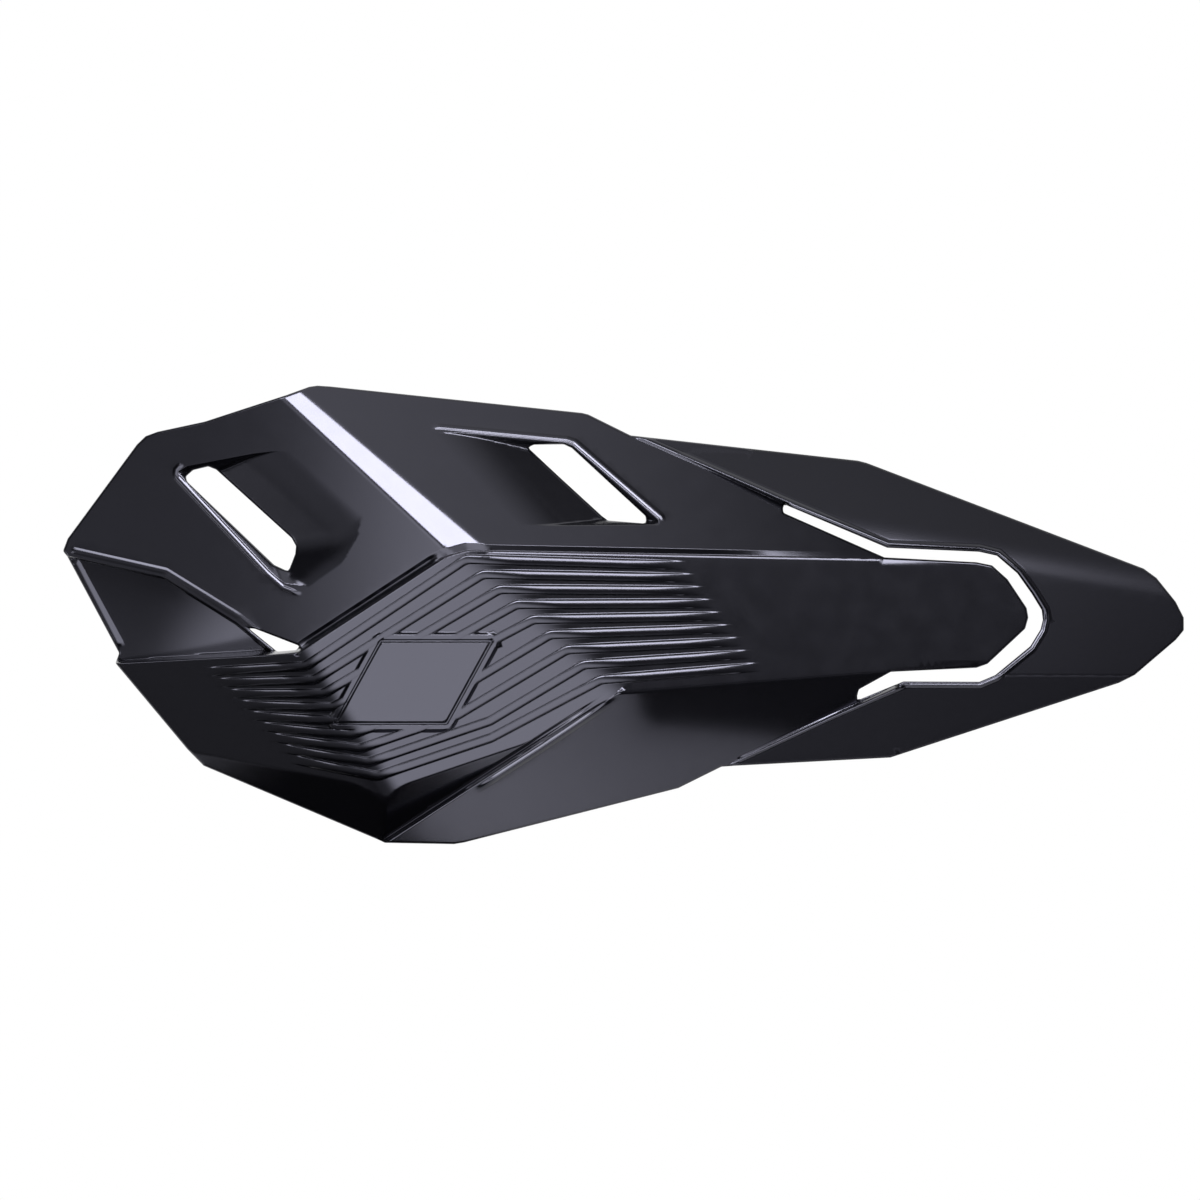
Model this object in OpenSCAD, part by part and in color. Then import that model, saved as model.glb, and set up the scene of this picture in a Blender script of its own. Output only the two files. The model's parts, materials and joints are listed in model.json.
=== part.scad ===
// Off-road motorcycle hand guard: one moulded shield and the kit that holds it on a handlebar.
// X runs outboard along the bar, Z is up, the shield faces -Y. The origin is the middle of the bar.
// A face is [x, z, depth, slope across, slope up]: depth runs back from the foremost plane.

/* [Shield] */
// distance from the bar's middle to the foremost plane of the shield
reach = 90; // [80:0.5:105]
// wall of the moulding
wall = 3; // [2:0.1:4]
// wall of the vent ramps
ramp_wall = 2.4; // [1.6:0.1:3]
// how far the vents' ramps fall behind the panel
ramp_fall = 7; // [3:0.5:10]
// width of the chamfer's own face on the main crease, measured at the band
chamfer_w = 8; // [4:0.5:12]

/* [Ribs] */
// number of moulded ribs in the band
rib_count = 9; // [3:1:12]
// radius of a rib's rounded back
rib_r = 1.3; // [0.8:0.1:2]
// how far a rib stands out of the band
rib_rise = 0.8; // [0.3:0.1:1.2]
// radius of the rolled lip at the scoop
lip_r = 1.2; // [0.8:0.1:2]
// how far the plain pad stands out of the band
pad_rise = 1.3; // [0.6:0.1:2]

/* [Bar clamp] */
// diameter of the handlebar
bar_d = 22.2; // [20:0.1:32]
// wall of the reducing sleeve
sleeve_t = 3.15; // [2:0.05:6]
// metal of the clamp halves around the sleeve
clamp_wall = 5.2; // [4:0.1:9]
// width of the clamp along the bar
clamp_w = 24; // [16:1:36]
// metal between the clamp's bore and the hole of a clamp bolt
bolt_wall = 3.4; // [2:0.1:6]
// gap between the clamp halves
clamp_gap = 2; // [0.5:0.5:4]
// clearance between sleeve and clamp halves
sleeve_fit = 0.05; // [0:0.01:0.2]

/* [Arm] */
// distance from the bar's middle to the bolt through the fork
fork_reach = 33; // [28:1:45]
// thickness of the tongue in the fork
tongue_t = 12; // [8:0.5:18]
// thickness of each fork cheek
cheek_t = 7; // [4:0.5:10]
// thickness of the arm's flange
flange_t = 5; // [3:0.5:8]
// thickness of the rubber pad
pad_t = 1.5; // [0.5:0.5:4]
// diameter of the shell screws
screw_d = 6; // [4:1:8]
// diameter of the fork bolt and clearance of its bushes
fork_bolt_d = 8; // [6:1:10]

/* [Hidden] */
front = -reach;
seat_y = front + 19;
bore_clear = 0.3;
far = 420;
clamp_bore = bar_d + 2 * (sleeve_t + sleeve_fit);
clamp_r = clamp_bore / 2 + clamp_wall;
clamp_pitch = clamp_bore + screw_d + 2 * (bore_clear + bolt_wall);
// bosses behind the band, [x, z]
bosses = [[-16, -6], [15, -13], [3, 12]];
insert_r = screw_d / 2 + 1;
boss_r = insert_r + 2.2;
head_r = screw_d / 2 + 2.25;
insert_len = 8;

// corners of the front skin, [x, z, depth]
crease_mid = [6.75, 22.3, 3.8];
crease_low = [46.5, -13.25, 8];
bend_top = [-33, -3.25, 3];
bend_low = [-11, -37.25, 5.85];
band_tip = [-78.75, -5, 31];
rim_low = [-60.8, -27.5, 30.8];
foot = [-11.25, -50.6, 16];
flank_end = [115.25, -8, 31.6];

// faces of the front skin
panel_a = [6.75, 23.75, 4.6, -0.2725, -0.006];
panel_b = [6.75, 23.75, 4.647, 0.3334, 0.668];
chamfer = through([-36, 61, 16.2], [3, 23.4, 5.6], [3 + chamfer_w, 25.6, 7.3]);
band_mid = through(crease_mid, crease_low, bend_top);
band_right = [6.75, 23.75, 4, 0.325, 0.241];
band_left = through(bend_top, bend_low, band_tip);
under_left = through(bend_low, rim_low, foot);
under_mid = through(bend_low, [17, -28.2, 7.2], foot);
flank = through(crease_low, flank_end, [-11.25, -50.6, 8]);
flank_wall = leaning([27.5, -25.5, 8], [-11.25, -50.6, 8], 4);
band_wall = leaning([3.4, 20.6, 4], [-33, -3.25, 3], 3.2);
scoop = [-90.75, 21, 34.5, -0.322, -0.231];
wing_top = [55, 49.2, 38.1, 0.334, 0.835];
wing_tail = [148, 20, 45, 0.237, 0.25];
wing_low = [141.75, -8.75, 36.3, 0.234, -0.399];
wing_step_top = leaning([50.2, 51.25, 38.5], [114.5, 23.1, 36.4], 4);
wing_step_low = leaning([120, -10.4, 32], [72.9, -31.75, 29.4], 4);

// outlines seen from the front, [x, z]
outline = [
    [-92, 22.25], [-90.8, 25.4], [-73.4, 48.9], [-71.2, 51], [-68.2, 52.1], [-56.4, 54.6],
    [-46.2, 57.9], [-35.9, 61.2], [-30.2, 63.3], [-28.2, 63.6], [-25, 63.4], [17.5, 59],
    [38, 56.9], [39.6, 56.5], [50.2, 51.25], [107.35, 45], [109.6, 44.4], [179.1, 17.9],
    [182.3, 15.55], [187.1, 9.55], [189.1, 5.6], [189.1, 2.4], [187.1, 0], [176.7, -8.8],
    [172.7, -10.8], [115.3, -29.5], [76.25, -31.5], [72.9, -31.75], [62.1, -37.1],
    [8.5, -50.6], [6, -51], [-11.25, -50.6], [-56.75, -31.5], [-60.8, -27.4],
    [-78.9, -5.75], [-78, -3.3], [-91, 21]];
slot = [
    [88.4, 34.1], [114.5, 23.1], [137.6, 22.1], [142.1, 21.1], [147.2, 16.7], [150.8, 11.6],
    [153.3, 7.5], [153.6, 5], [153, 2.6], [150.4, -1.6], [141.6, -8.8], [137.6, -10.5],
    [118.5, -10.4], [106.6, -15.3], [107.3, -12.4], [115.3, -8], [136.9, -7], [139.7, -6],
    [149.2, 2.8], [150, 5.6], [149.6, 8], [144.8, 15.2], [140.9, 18.7], [136.9, 19.5],
    [113.8, 20.7], [88.4, 31.9]];
gap = [[-45.5, 3], [-43.7, 2.8], [-32.5, -1.5], [-33.4, -2.5], [-38.2, -2.9]];
vent_left = [[-63.5, 42], [-61, 43.6], [-36.25, 48.25], [-11.4, 26.25], [-31.75, 12], [-36.4, 13.8], [-40.3, 17.2]];
hole_left = [
    [-61.2, 40.9], [-59.3, 42.5], [-55.5, 43.4], [-53.5, 42.6], [-34.6, 25.5], [-33.5, 23.5],
    [-33.7, 21.5], [-35.4, 17.1], [-39, 18.8], [-60.8, 39.6]];
vent_right = [[0, 52.5], [2.4, 52.6], [34.1, 49.6], [35.9, 49], [57.3, 30.5], [57.7, 28.6], [22.5, 28.2]];
hole_right = [
    [24.4, 48.2], [26, 48.9], [33.4, 49], [35.4, 48.1], [53.9, 31], [54.1, 29.1], [44.5, 29.9],
    [43, 31], [32.1, 41]];
zone_upper = [
    [-140, 32.6], [-91, 21], [-66.4, 15.5], [-48.5, 4.25], [-39.6, -3], [-28, -14], [10, 5],
    [151.6, 5], [146, 16], [140, 20.8], [114.5, 21.9], [91, 32.2], [91, 43], [64, 55],
    [60, 90], [-140, 90]];
// the same for the outer skin, where the band's own body takes over just under its top edge
zone_upper_front = [
    [-140, 32.6], [-91, 21], [-66.4, 15.5], [-48.5, 4.25], [-39.6, -3], [-33, -4.5],
    [4.2, 19.2], [10, 20.6], [112, 19], [114.5, 21.9], [91, 32.2], [91, 43], [64, 55],
    [60, 90], [-140, 90]];
zone_band_left = [
    [-110, -7.3], [-79, -5.75], [-39.25, -3.6], [-33, -3.25], [-31, -8], [-31, -90], [-110, -90]];
zone_band = [
    [-33, -3.25], [3.4, 20.6], [9.3, 22.3],
    [14, 22.3], [20, 25], [100, 25], [114.5, 21.9], [140, 20.8], [146, 16], [151.8, 6],
    [142, -7.5], [137, -8.8], [117, -9.4], [122, -22], [68, -46], [60, -90], [-33, -90]];
zone_flank = [
    [46.5, -13.25], [27.5, -25.5], [-11.25, -50.6], [-40, -69], [60, -90], [68, -46],
    [122, -22], [117, -9.4], [118, -6], [52, -9]];
zone_scoop = [[-110, 30], [-66.4, 23], [-44, 11], [-30, 2], [-26, -9], [-80, -12], [-110, -12]];
zone_wing_top = [[40, 24], [40, 90], [90.5, 90], [90.5, 32.4]];
zone_wing_low = [[40, -20], [117.2, -9.4], [117.2, -80], [40, -80]];
zone_wing = [
    [90, 32.6], [90, 90], [220, 90], [220, -80], [117, -80], [117, -9.4], [137, -9.6],
    [142, -7.5], [151.8, 6], [146, 16], [140, 21], [114.5, 21.9]];
pad_shape = [[-12, -0.5], [15, -0.5], [4, -20.5], [-23, -20.5]];
// where the lower ribs turn below the pad, from the sixth rib on
rib_turns = [[0.6, -16.3], [7, -18.7], [15, -20.2], [15.3, -24.4]];

// face through three corners [x, z, depth]
function through(p, q, r) =
    let (u = q - p, v = r - p, k = u[0] * v[1] - u[1] * v[0])
    [p[0], p[1], p[2], (u[2] * v[1] - v[2] * u[1]) / k, (u[0] * v[2] - v[0] * u[2]) / k];

// steep face through an edge, falling away to the right of the way from p to q
function leaning(p, q, steep) =
    let (u = q - p, l = norm([u[0], u[1]]), g = u[2] / l)
    [p[0], p[1], p[2], (g * u[0] + steep * u[1]) / l, (g * u[1] - steep * u[0]) / l];

function depth_at(face, x, z) = face[2] + face[3] * (x - face[0]) + face[4] * (z - face[1]);

function on_face(face, x, z, lift = 0) = [x, front + depth_at(face, x, z) - lift, z];

function grown(shape, by) =
    let (c = mean(shape))
    [for (p = shape) p + (p - c) * by / norm(p - c)];

function mean(shape) = [for (k = [0, 1]) sum(shape, k) / len(shape)];

function sum(shape, k, i = 0) = i == len(shape) ? 0 : shape[i][k] + sum(shape, k, i + 1);

// all the space behind a face, moved back by inset along its own normal
module behind(face, inset = 0) {
    n = sqrt(1 + face[3] * face[3] + face[4] * face[4]);
    translate([face[0], front + face[2], face[1]])
        rotate([-asin(face[4] / n), 0, atan(face[3])])
            translate([-far, inset, -far])
                cube([2 * far, far, 2 * far]);
}

// a shape drawn from the front, carried straight back from y0 to y1
module drawn(shape, y0 = -130, y1 = 10) {
    translate([0, y1, 0])
        rotate([90, 0, 0])
            linear_extrude(height = y1 - y0)
                polygon(shape);
}

// round bar from p to q, run past both ends so that two bars close at a bend
module rod(p, q, r) {
    d = q - p;
    past = 0.3 * r;
    translate(p - d * past / norm(d))
        rotate([0, acos(d[2] / norm(d)), atan2(d[1], d[0])])
            cylinder(h = norm(d) + 2 * past, r = r, $fn = 14);
}

module along_y(x, z, y0, y1, r) {
    translate([x, y0, z])
        rotate([-90, 0, 0])
            cylinder(h = y1 - y0, r = r, $fn = 64);
}

module along_x(y, z, x0, x1, r) {
    translate([x0, y, z])
        rotate([0, 90, 0])
            cylinder(h = x1 - x0, r = r, $fn = 64);
}

// everything behind the front skin, moved back by inset
module body(inset) {
    s = inset / 3;
    intersection() {
        translate([0.9 * s, 0, 3 * s]) drawn(inset > 0 ? zone_upper : zone_upper_front);
        behind(panel_a, inset);
        behind(panel_b, inset);
        behind(chamfer, inset);
        behind(band_right, inset);
    }
    intersection() {
        translate([1.6 * s, 0, -3 * s]) drawn(zone_band_left);
        behind(band_mid, inset);
        behind(band_left, inset);
        behind(under_left, inset);
        behind(under_mid, inset);
    }
    intersection() {
        translate([1.6 * s, 0, -3 * s]) drawn(zone_band);
        behind(band_mid, inset);
        behind(band_left, inset);
        behind(band_right, inset);
        behind(panel_b, inset);
        behind(band_wall, inset);
        behind(under_left, inset);
        behind(under_mid, inset);
        behind(flank, inset);
    }
    intersection() {
        translate([0.8 * s, 0, -1 * s]) drawn(zone_flank);
        behind(flank, inset);
        behind(band_right, inset);
        behind(flank_wall, inset);
    }
    intersection() {
        drawn(zone_scoop);
        behind(scoop, inset);
    }
    intersection() {
        drawn(zone_wing_top);
        behind(wing_top, inset);
        behind(wing_tail, inset);
        behind(wing_low, inset);
        behind(wing_step_top, inset);
    }
    intersection() {
        drawn(zone_wing_low);
        behind(wing_top, inset);
        behind(wing_tail, inset);
        behind(wing_low, inset);
        behind(wing_step_low, inset);
    }
    intersection() {
        drawn(zone_wing);
        behind(wing_top, inset);
        behind(wing_tail, inset);
        behind(wing_low, inset);
    }
}

// floor of a vent: flush along its near edge, deepest at its far edge
function floor_of(face, near_a, near_b, away) = through(
    [near_a[0], near_a[1], depth_at(face, near_a[0], near_a[1])],
    [near_b[0], near_b[1], depth_at(face, near_b[0], near_b[1])],
    [away[0], away[1], depth_at(face, away[0], away[1]) + ramp_fall]);

ramp_left = floor_of(panel_a, vent_left[2], vent_left[3], vent_left[0]);
ramp_right = floor_of(panel_b, vent_right[0], vent_right[6], vent_right[3]);

module ramp_block(face, shape, ramp) {
    difference() {
        intersection() {
            drawn(grown(shape, 2));
            behind(face, 0.4);
        }
        behind(ramp, ramp_wall);
    }
}

module ramp_space(face, shape, ramp) {
    difference() {
        drawn(shape);
        behind(ramp);
    }
}

// rolled lip along the scoop's free edge
module lip() {
    rod(on_face(scoop, -89.6, 20.8, 0.6 - lip_r), on_face(scoop, -77.5, -1.8, 0.6 - lip_r), lip_r);
}

// one rib: fades in on the left face, turns at both bends of the band and fades out on the right
module rib(i) {
    sink = rib_r - rib_rise;
    lb = -6.5 - 3.43 * i;
    rb = 20.2 - 3.76 * i;
    bend_l = [bend_top[0] + (bend_top[1] - lb) * 0.647, lb];
    bend_r = [crease_mid[0] + (crease_mid[1] - rb) * 1.118, rb];
    end_l = [-56.5 + 2.66 * i, -8 - 2.7 * i];
    end_r = [64.25 + 2.3 * i, 18.6 - 3.16 * i];
    full_l = end_l + (bend_l - end_l) * 0.4;
    full_r = end_r + (bend_r - end_r) * 0.3;
    a = on_face(band_left, end_l[0], end_l[1], -rib_r - 0.1);
    b = on_face(band_left, full_l[0], full_l[1], -sink);
    c = on_face(band_mid, bend_l[0], bend_l[1], -sink);
    d = on_face(band_mid, bend_r[0], bend_r[1], -sink);
    e = on_face(band_right, full_r[0], full_r[1], -sink);
    f = on_face(band_right, end_r[0], end_r[1], -rib_r - 0.1);
    rod(a, b, rib_r);
    rod(b, c, rib_r);
    if (i > 4 && i < 9) {
        turn = rib_turns[i - 5];
        m = on_face(band_mid, turn[0], turn[1], -sink);
        rod(c, m, rib_r);
        rod(m, d, rib_r);
    } else {
        rod(c, d, rib_r);
    }
    rod(d, e, rib_r);
    rod(e, f, rib_r);
}

module pad() {
    difference() {
        intersection() {
            drawn(pad_shape);
            behind(band_mid, -pad_rise);
        }
        behind(band_mid, 1);
    }
}

module boss_blanks() {
    intersection() {
        union() {
            for (p = bosses) along_y(p[0], p[1], front + 5, seat_y, boss_r);
            for (k = [0 : 2]) web(bosses[k], bosses[(k + 1) % 3]);
        }
        behind(band_mid, 1.2);
        behind(band_right, 1.2);
        behind(band_left, 1.2);
    }
}

module web(p, q) {
    d = q - p;
    translate([p[0], front + 4, p[1]])
        rotate([0, -atan2(d[1], d[0]), 0])
            translate([0, 0, -1.1])
                cube([norm(d), seat_y - 3 - front - 4, 2.2]);
}

// the flat-faced moulding with its openings
module skin() {
    difference() {
        union() {
            intersection() {
                difference() {
                    body(0);
                    body(wall);
                }
                drawn(outline);
            }
            ramp_block(panel_a, vent_left, ramp_left);
            ramp_block(panel_b, vent_right, ramp_right);
            for (i = [0 : rib_count - 1]) rib(i);
            pad();
            lip();
        }
        ramp_space(panel_a, vent_left, ramp_left);
        ramp_space(panel_b, vent_right, ramp_right);
        drawn(hole_left);
        drawn(hole_right);
        drawn(slot);
        drawn(gap);
    }
}

module guard_shell() {
    color([0.12, 0.12, 0.14])
        difference() {
            union() {
                resize([0, 0, 0]) skin();
                boss_blanks();
            }
            for (p = bosses) along_y(p[0], p[1], seat_y - insert_len - 1, seat_y + 1, insert_r);
        }
}

module boss_inserts() {
    color([0.72, 0.58, 0.3])
        for (p = bosses)
            difference() {
                along_y(p[0], p[1], seat_y - insert_len, seat_y, insert_r);
                along_y(p[0], p[1], seat_y - insert_len - 1, seat_y + 1, screw_d / 2);
            }
}

module arm_pad() {
    color([0.08, 0.08, 0.08])
        difference() {
            translate([0, 0, 0]) drawn(flange_shape(), seat_y, seat_y + pad_t);
            for (p = bosses) along_y(p[0], p[1], seat_y - 1, seat_y + pad_t + 1, screw_d / 2 + bore_clear);
        }
}

function flange_shape() = [
    [-25, -3], [-22, 3], [-2, 19], [3, 21], [8, 19], [22, -4], [24, -14], [20, -21], [12, -22],
    [-18, -14], [-24, -10]];

flange_y = seat_y + pad_t;
flange_back = flange_y + flange_t;
collar_r = screw_d / 2 + 1.8;

module mount_arm() {
    color([0.16, 0.16, 0.17])
        difference() {
            union() {
                drawn(flange_shape(), flange_y, flange_back);
                hull() {
                    translate([-10, flange_back - 1, -9]) cube([18, 1, 18]);
                    translate([-11, -fork_reach - 14, -9]) cube([22, 2, 18]);
                }
                for (s = [-1, 1]) cheek(s);
            }
            for (p = bosses) along_y(p[0], p[1], flange_y - 1, flange_back + 1, collar_r);
            for (p = bosses) along_y(p[0], p[1], flange_back, flange_back + 14, screw_d + 2);
            along_x(-fork_reach, 0, -40, 40, fork_bolt_d / 2 + bore_clear);
        }
}

module cheek(side) {
    x0 = side > 0 ? tongue_t / 2 + 0.3 : -tongue_t / 2 - 0.3 - cheek_t;
    along_x(-fork_reach, 0, x0, x0 + cheek_t, 9);
    translate([x0, -fork_reach - 13, -9]) cube([cheek_t, 13, 18]);
}

module arm_collars() {
    color([0.7, 0.7, 0.72])
        for (p = bosses)
            difference() {
                along_y(p[0], p[1], flange_y, flange_back, collar_r);
                along_y(p[0], p[1], flange_y - 1, flange_back + 1, screw_d / 2 + 0.2);
            }
}

module arm_washers() {
    color([0.75, 0.75, 0.77])
        for (p = bosses)
            difference() {
                along_y(p[0], p[1], flange_back, flange_back + 1.6, screw_d);
                along_y(p[0], p[1], flange_back - 1, flange_back + 3, screw_d / 2 + 0.2);
            }
}

module arm_screws() {
    color([0.6, 0.6, 0.62])
        for (p = bosses)
            difference() {
                union() {
                    along_y(p[0], p[1], seat_y - insert_len + 1, flange_back + 2, screw_d / 2);
                    translate([p[0], flange_back + 1.6, p[1]])
                        rotate([-90, 0, 0])
                            rotate_extrude($fn = 64)
                                polygon([[0, 0], [head_r, 0], [head_r, 0.8], [head_r - 0.85, 2.3], [head_r - 2.65, 3.3], [0, 3.3]]);
                }
                translate([p[0], flange_back + 3.1, p[1]])
                    rotate([-90, 0, 0])
                        cylinder(h = 3, r = screw_d / 2 - 0.7, $fn = 6);
            }
}

ear_r = screw_d / 2 + 4.5;
ear_t = 9;
ear_root = clamp_w - 4;

cap_seat = clamp_gap / 2 + ear_t;

module clamp_half(side) {
    big = 2 * clamp_r;
    difference() {
        union() {
            intersection() {
                along_x(0, 0, -clamp_w / 2, clamp_w / 2, clamp_r);
                translate([-clamp_w, side > 0 ? clamp_gap / 2 : -clamp_gap / 2 - big, -big])
                    cube([2 * clamp_w, big, 2 * big]);
            }
            for (s = [-1, 1])
                hull() {
                    along_y(0, s * clamp_pitch / 2, ear_y0(side), ear_y0(side) + ear_t, ear_r);
                    translate([-ear_root / 2, ear_y0(side), s * (clamp_bore / 2 - 2.3) - 2])
                        cube([ear_root, ear_t, 4]);
                }
        }
        along_x(0, 0, -clamp_w, clamp_w, clamp_bore / 2);
        for (s = [-1, 1]) along_y(0, s * clamp_pitch / 2, -big, big, screw_d / 2 + bore_clear);
        // spot faces that let the washers sit flat beside the round of the cap
        if (side > 0)
            for (s = [-1, 1]) along_y(0, s * clamp_pitch / 2, cap_seat, big, screw_d + bore_clear);
    }
}

function ear_y0(side) = side > 0 ? clamp_gap / 2 : -clamp_gap / 2 - ear_t;

nut_t = 5;
nut_r = screw_d / 2 + 2.77;

module clamp_saddle() {
    color([0.68, 0.69, 0.7])
        difference() {
            union() {
                clamp_half(-1);
                difference() {
                    union() {
                        along_x(-fork_reach, 0, -tongue_t / 2, tongue_t / 2, 9);
                        translate([-tongue_t / 2, -fork_reach, -9])
                            cube([tongue_t, fork_reach - clamp_r + 3.5, 18]);
                    }
                    along_x(0, 0, -clamp_w, clamp_w, clamp_bore / 2);
                }
            }
            along_x(-fork_reach, 0, -40, 40, fork_bolt_d / 2 + 1.5);
            for (s = [-1, 1])
                translate([0, ear_y0(-1) - 1, s * clamp_pitch / 2])
                    rotate([-90, 30, 0])
                        cylinder(h = nut_t + 1, r = nut_r + 0.15, $fn = 6);
        }
}

module clamp_cap() {
    color([0.68, 0.69, 0.7]) clamp_half(1);
}

module sleeve_half(side) {
    difference() {
        union() {
            along_x(0, 0, -clamp_w / 2, clamp_w / 2, clamp_bore / 2 - sleeve_fit);
            for (s = [-1, 1])
                along_x(0, 0, s > 0 ? clamp_w / 2 : -clamp_w / 2 - 1.5, s > 0 ? clamp_w / 2 + 1.5 : -clamp_w / 2, clamp_bore / 2 + 1.5);
        }
        along_x(0, 0, -40, 40, bar_d / 2);
        translate([-40, side > 0 ? -40 : -0.4, -40]) cube([80, side > 0 ? 40.4 : 40, 80]);
    }
}

module sleeve_front() {
    color([0.1, 0.1, 0.11]) sleeve_half(-1);
}

module sleeve_rear() {
    color([0.1, 0.1, 0.11]) sleeve_half(1);
}

module clamp_washers() {
    color([0.75, 0.75, 0.77])
        for (s = [-1, 1])
            difference() {
                along_y(0, s * clamp_pitch / 2, cap_seat, cap_seat + 1.6, screw_d);
                along_y(0, s * clamp_pitch / 2, cap_seat - 1, cap_seat + 3, screw_d / 2 + 0.2);
            }
}

module clamp_bolts() {
    color([0.6, 0.6, 0.62])
        for (s = [-1, 1])
            difference() {
                union() {
                    along_y(0, s * clamp_pitch / 2, -cap_seat - 1, cap_seat + 2, screw_d / 2);
                    along_y(0, s * clamp_pitch / 2, cap_seat + 1.6, cap_seat + 7.6, screw_d / 2 + 2);
                }
                translate([0, cap_seat + 4.6, s * clamp_pitch / 2])
                    rotate([-90, 0, 0])
                        cylinder(h = 6, r = screw_d / 2 - 0.1, $fn = 6);
            }
}

module clamp_nuts() {
    color([0.7, 0.7, 0.72])
        for (s = [-1, 1])
            difference() {
                translate([0, ear_y0(-1), s * clamp_pitch / 2])
                    rotate([-90, 30, 0])
                        cylinder(h = nut_t, r = nut_r, $fn = 6);
                along_y(0, s * clamp_pitch / 2, -40, 40, screw_d / 2);
            }
}

cheek_out = tongue_t / 2 + 0.3 + cheek_t;
fork_hex_r = fork_bolt_d / 2 + 3.5;

module fork_bushes() {
    color([0.7, 0.7, 0.72])
        for (s = [-1, 1])
            difference() {
                along_x(-fork_reach, 0, s > 0 ? 0.2 : -tongue_t / 2, s > 0 ? tongue_t / 2 : -0.2, fork_bolt_d / 2 + 1.5);
                along_x(-fork_reach, 0, -40, 40, fork_bolt_d / 2);
            }
}

module fork_washers() {
    color([0.75, 0.75, 0.77])
        for (s = [-1, 1])
            difference() {
                along_x(-fork_reach, 0, s > 0 ? cheek_out : -cheek_out - 1.6, s > 0 ? cheek_out + 1.6 : -cheek_out, fork_bolt_d);
                along_x(-fork_reach, 0, -40, 40, fork_bolt_d / 2 + 0.2);
            }
}

module fork_bolt() {
    color([0.62, 0.62, 0.64])
        union() {
            along_x(-fork_reach, 0, -cheek_out - 10, cheek_out + 2, fork_bolt_d / 2);
            translate([cheek_out + 1.6, -fork_reach, 0])
                rotate([0, 90, 0])
                    cylinder(h = 5.3, r = fork_hex_r, $fn = 6);
        }
}

module fork_nut() {
    color([0.7, 0.7, 0.72])
        difference() {
            translate([-cheek_out - 1.6 - 6.8, -fork_reach, 0])
                rotate([0, 90, 0])
                    cylinder(h = 6.8, r = fork_hex_r, $fn = 6);
            along_x(-fork_reach, 0, -60, 60, fork_bolt_d / 2);
        }
}

guard_shell();
boss_inserts();
arm_pad();
mount_arm();
arm_collars();
arm_washers();
arm_screws();
clamp_saddle();
clamp_cap();
sleeve_front();
sleeve_rear();
clamp_bolts();
clamp_washers();
clamp_nuts();
fork_bolt();
fork_bushes();
fork_washers();
fork_nut();
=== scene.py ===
import json
import math

import bmesh
import bpy
import numpy as np
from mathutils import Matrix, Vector
from mathutils.geometry import delaunay_2d_cdt


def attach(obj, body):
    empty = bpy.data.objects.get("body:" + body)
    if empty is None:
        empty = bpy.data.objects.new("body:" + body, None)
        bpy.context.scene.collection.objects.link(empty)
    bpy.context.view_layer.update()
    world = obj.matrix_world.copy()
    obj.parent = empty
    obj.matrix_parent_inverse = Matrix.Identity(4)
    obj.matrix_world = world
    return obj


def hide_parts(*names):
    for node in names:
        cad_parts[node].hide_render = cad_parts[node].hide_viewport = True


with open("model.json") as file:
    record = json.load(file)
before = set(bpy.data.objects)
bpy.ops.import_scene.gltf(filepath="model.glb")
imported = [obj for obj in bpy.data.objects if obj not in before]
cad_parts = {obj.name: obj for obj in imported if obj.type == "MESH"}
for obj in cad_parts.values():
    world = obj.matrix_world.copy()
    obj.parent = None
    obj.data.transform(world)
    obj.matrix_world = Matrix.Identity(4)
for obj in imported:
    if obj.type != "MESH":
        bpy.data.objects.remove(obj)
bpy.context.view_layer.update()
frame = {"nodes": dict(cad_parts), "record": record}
mm = 0.001
print("frame loaded")

# Shield, in mm as in the CAD source. x runs right, z up, depth runs back from the foremost plane.
shieldValues = {
    "frontY": -90.0,
    "wall": 3.0,
    "rampWall": 2.4,
    "rampFall": 7.0,
    "creaseWidth": 0.55,   # width over which two faces blend
    "bendWidth": 7.0,      # the same at the two bends of the ribbed band
    "chamferBlend": 0.7,   # and on both sides of the chamfer
    "tailBlend": 4.0,      # and along the wing's upper crease
    "step": 12.0,          # slope of the drafted step walls
    "edgeRound": 0.6,      # rounding of the front edges
    "ribCount": 9,
    "ribHalf": 1.25,
    "ribRise": 0.8,
    "ribCrown": 0.27,      # share of the rise that the rounded top takes up
    "ribBend": 4.0,
    "ribFadeIn": 12,       # the ribs rise over this length at their left end
    "ribFadeOut": 15,      # and sink over this one at their right end
    "ribSide": 0.3,        # share of the half width that a rib's side takes up
    "rampEase": 3.0,       # fall over which a vent's ramp eases in
    "rimRound": 0.7,       # corner radii of the rim, the holes and the vents, seen from the front
    "holeRound": 0.8,
    "ventRound": 1.2,
    "grid": 1.8,
    "backGrid": 1.7,
    "rowStep": 1.0,
}

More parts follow.
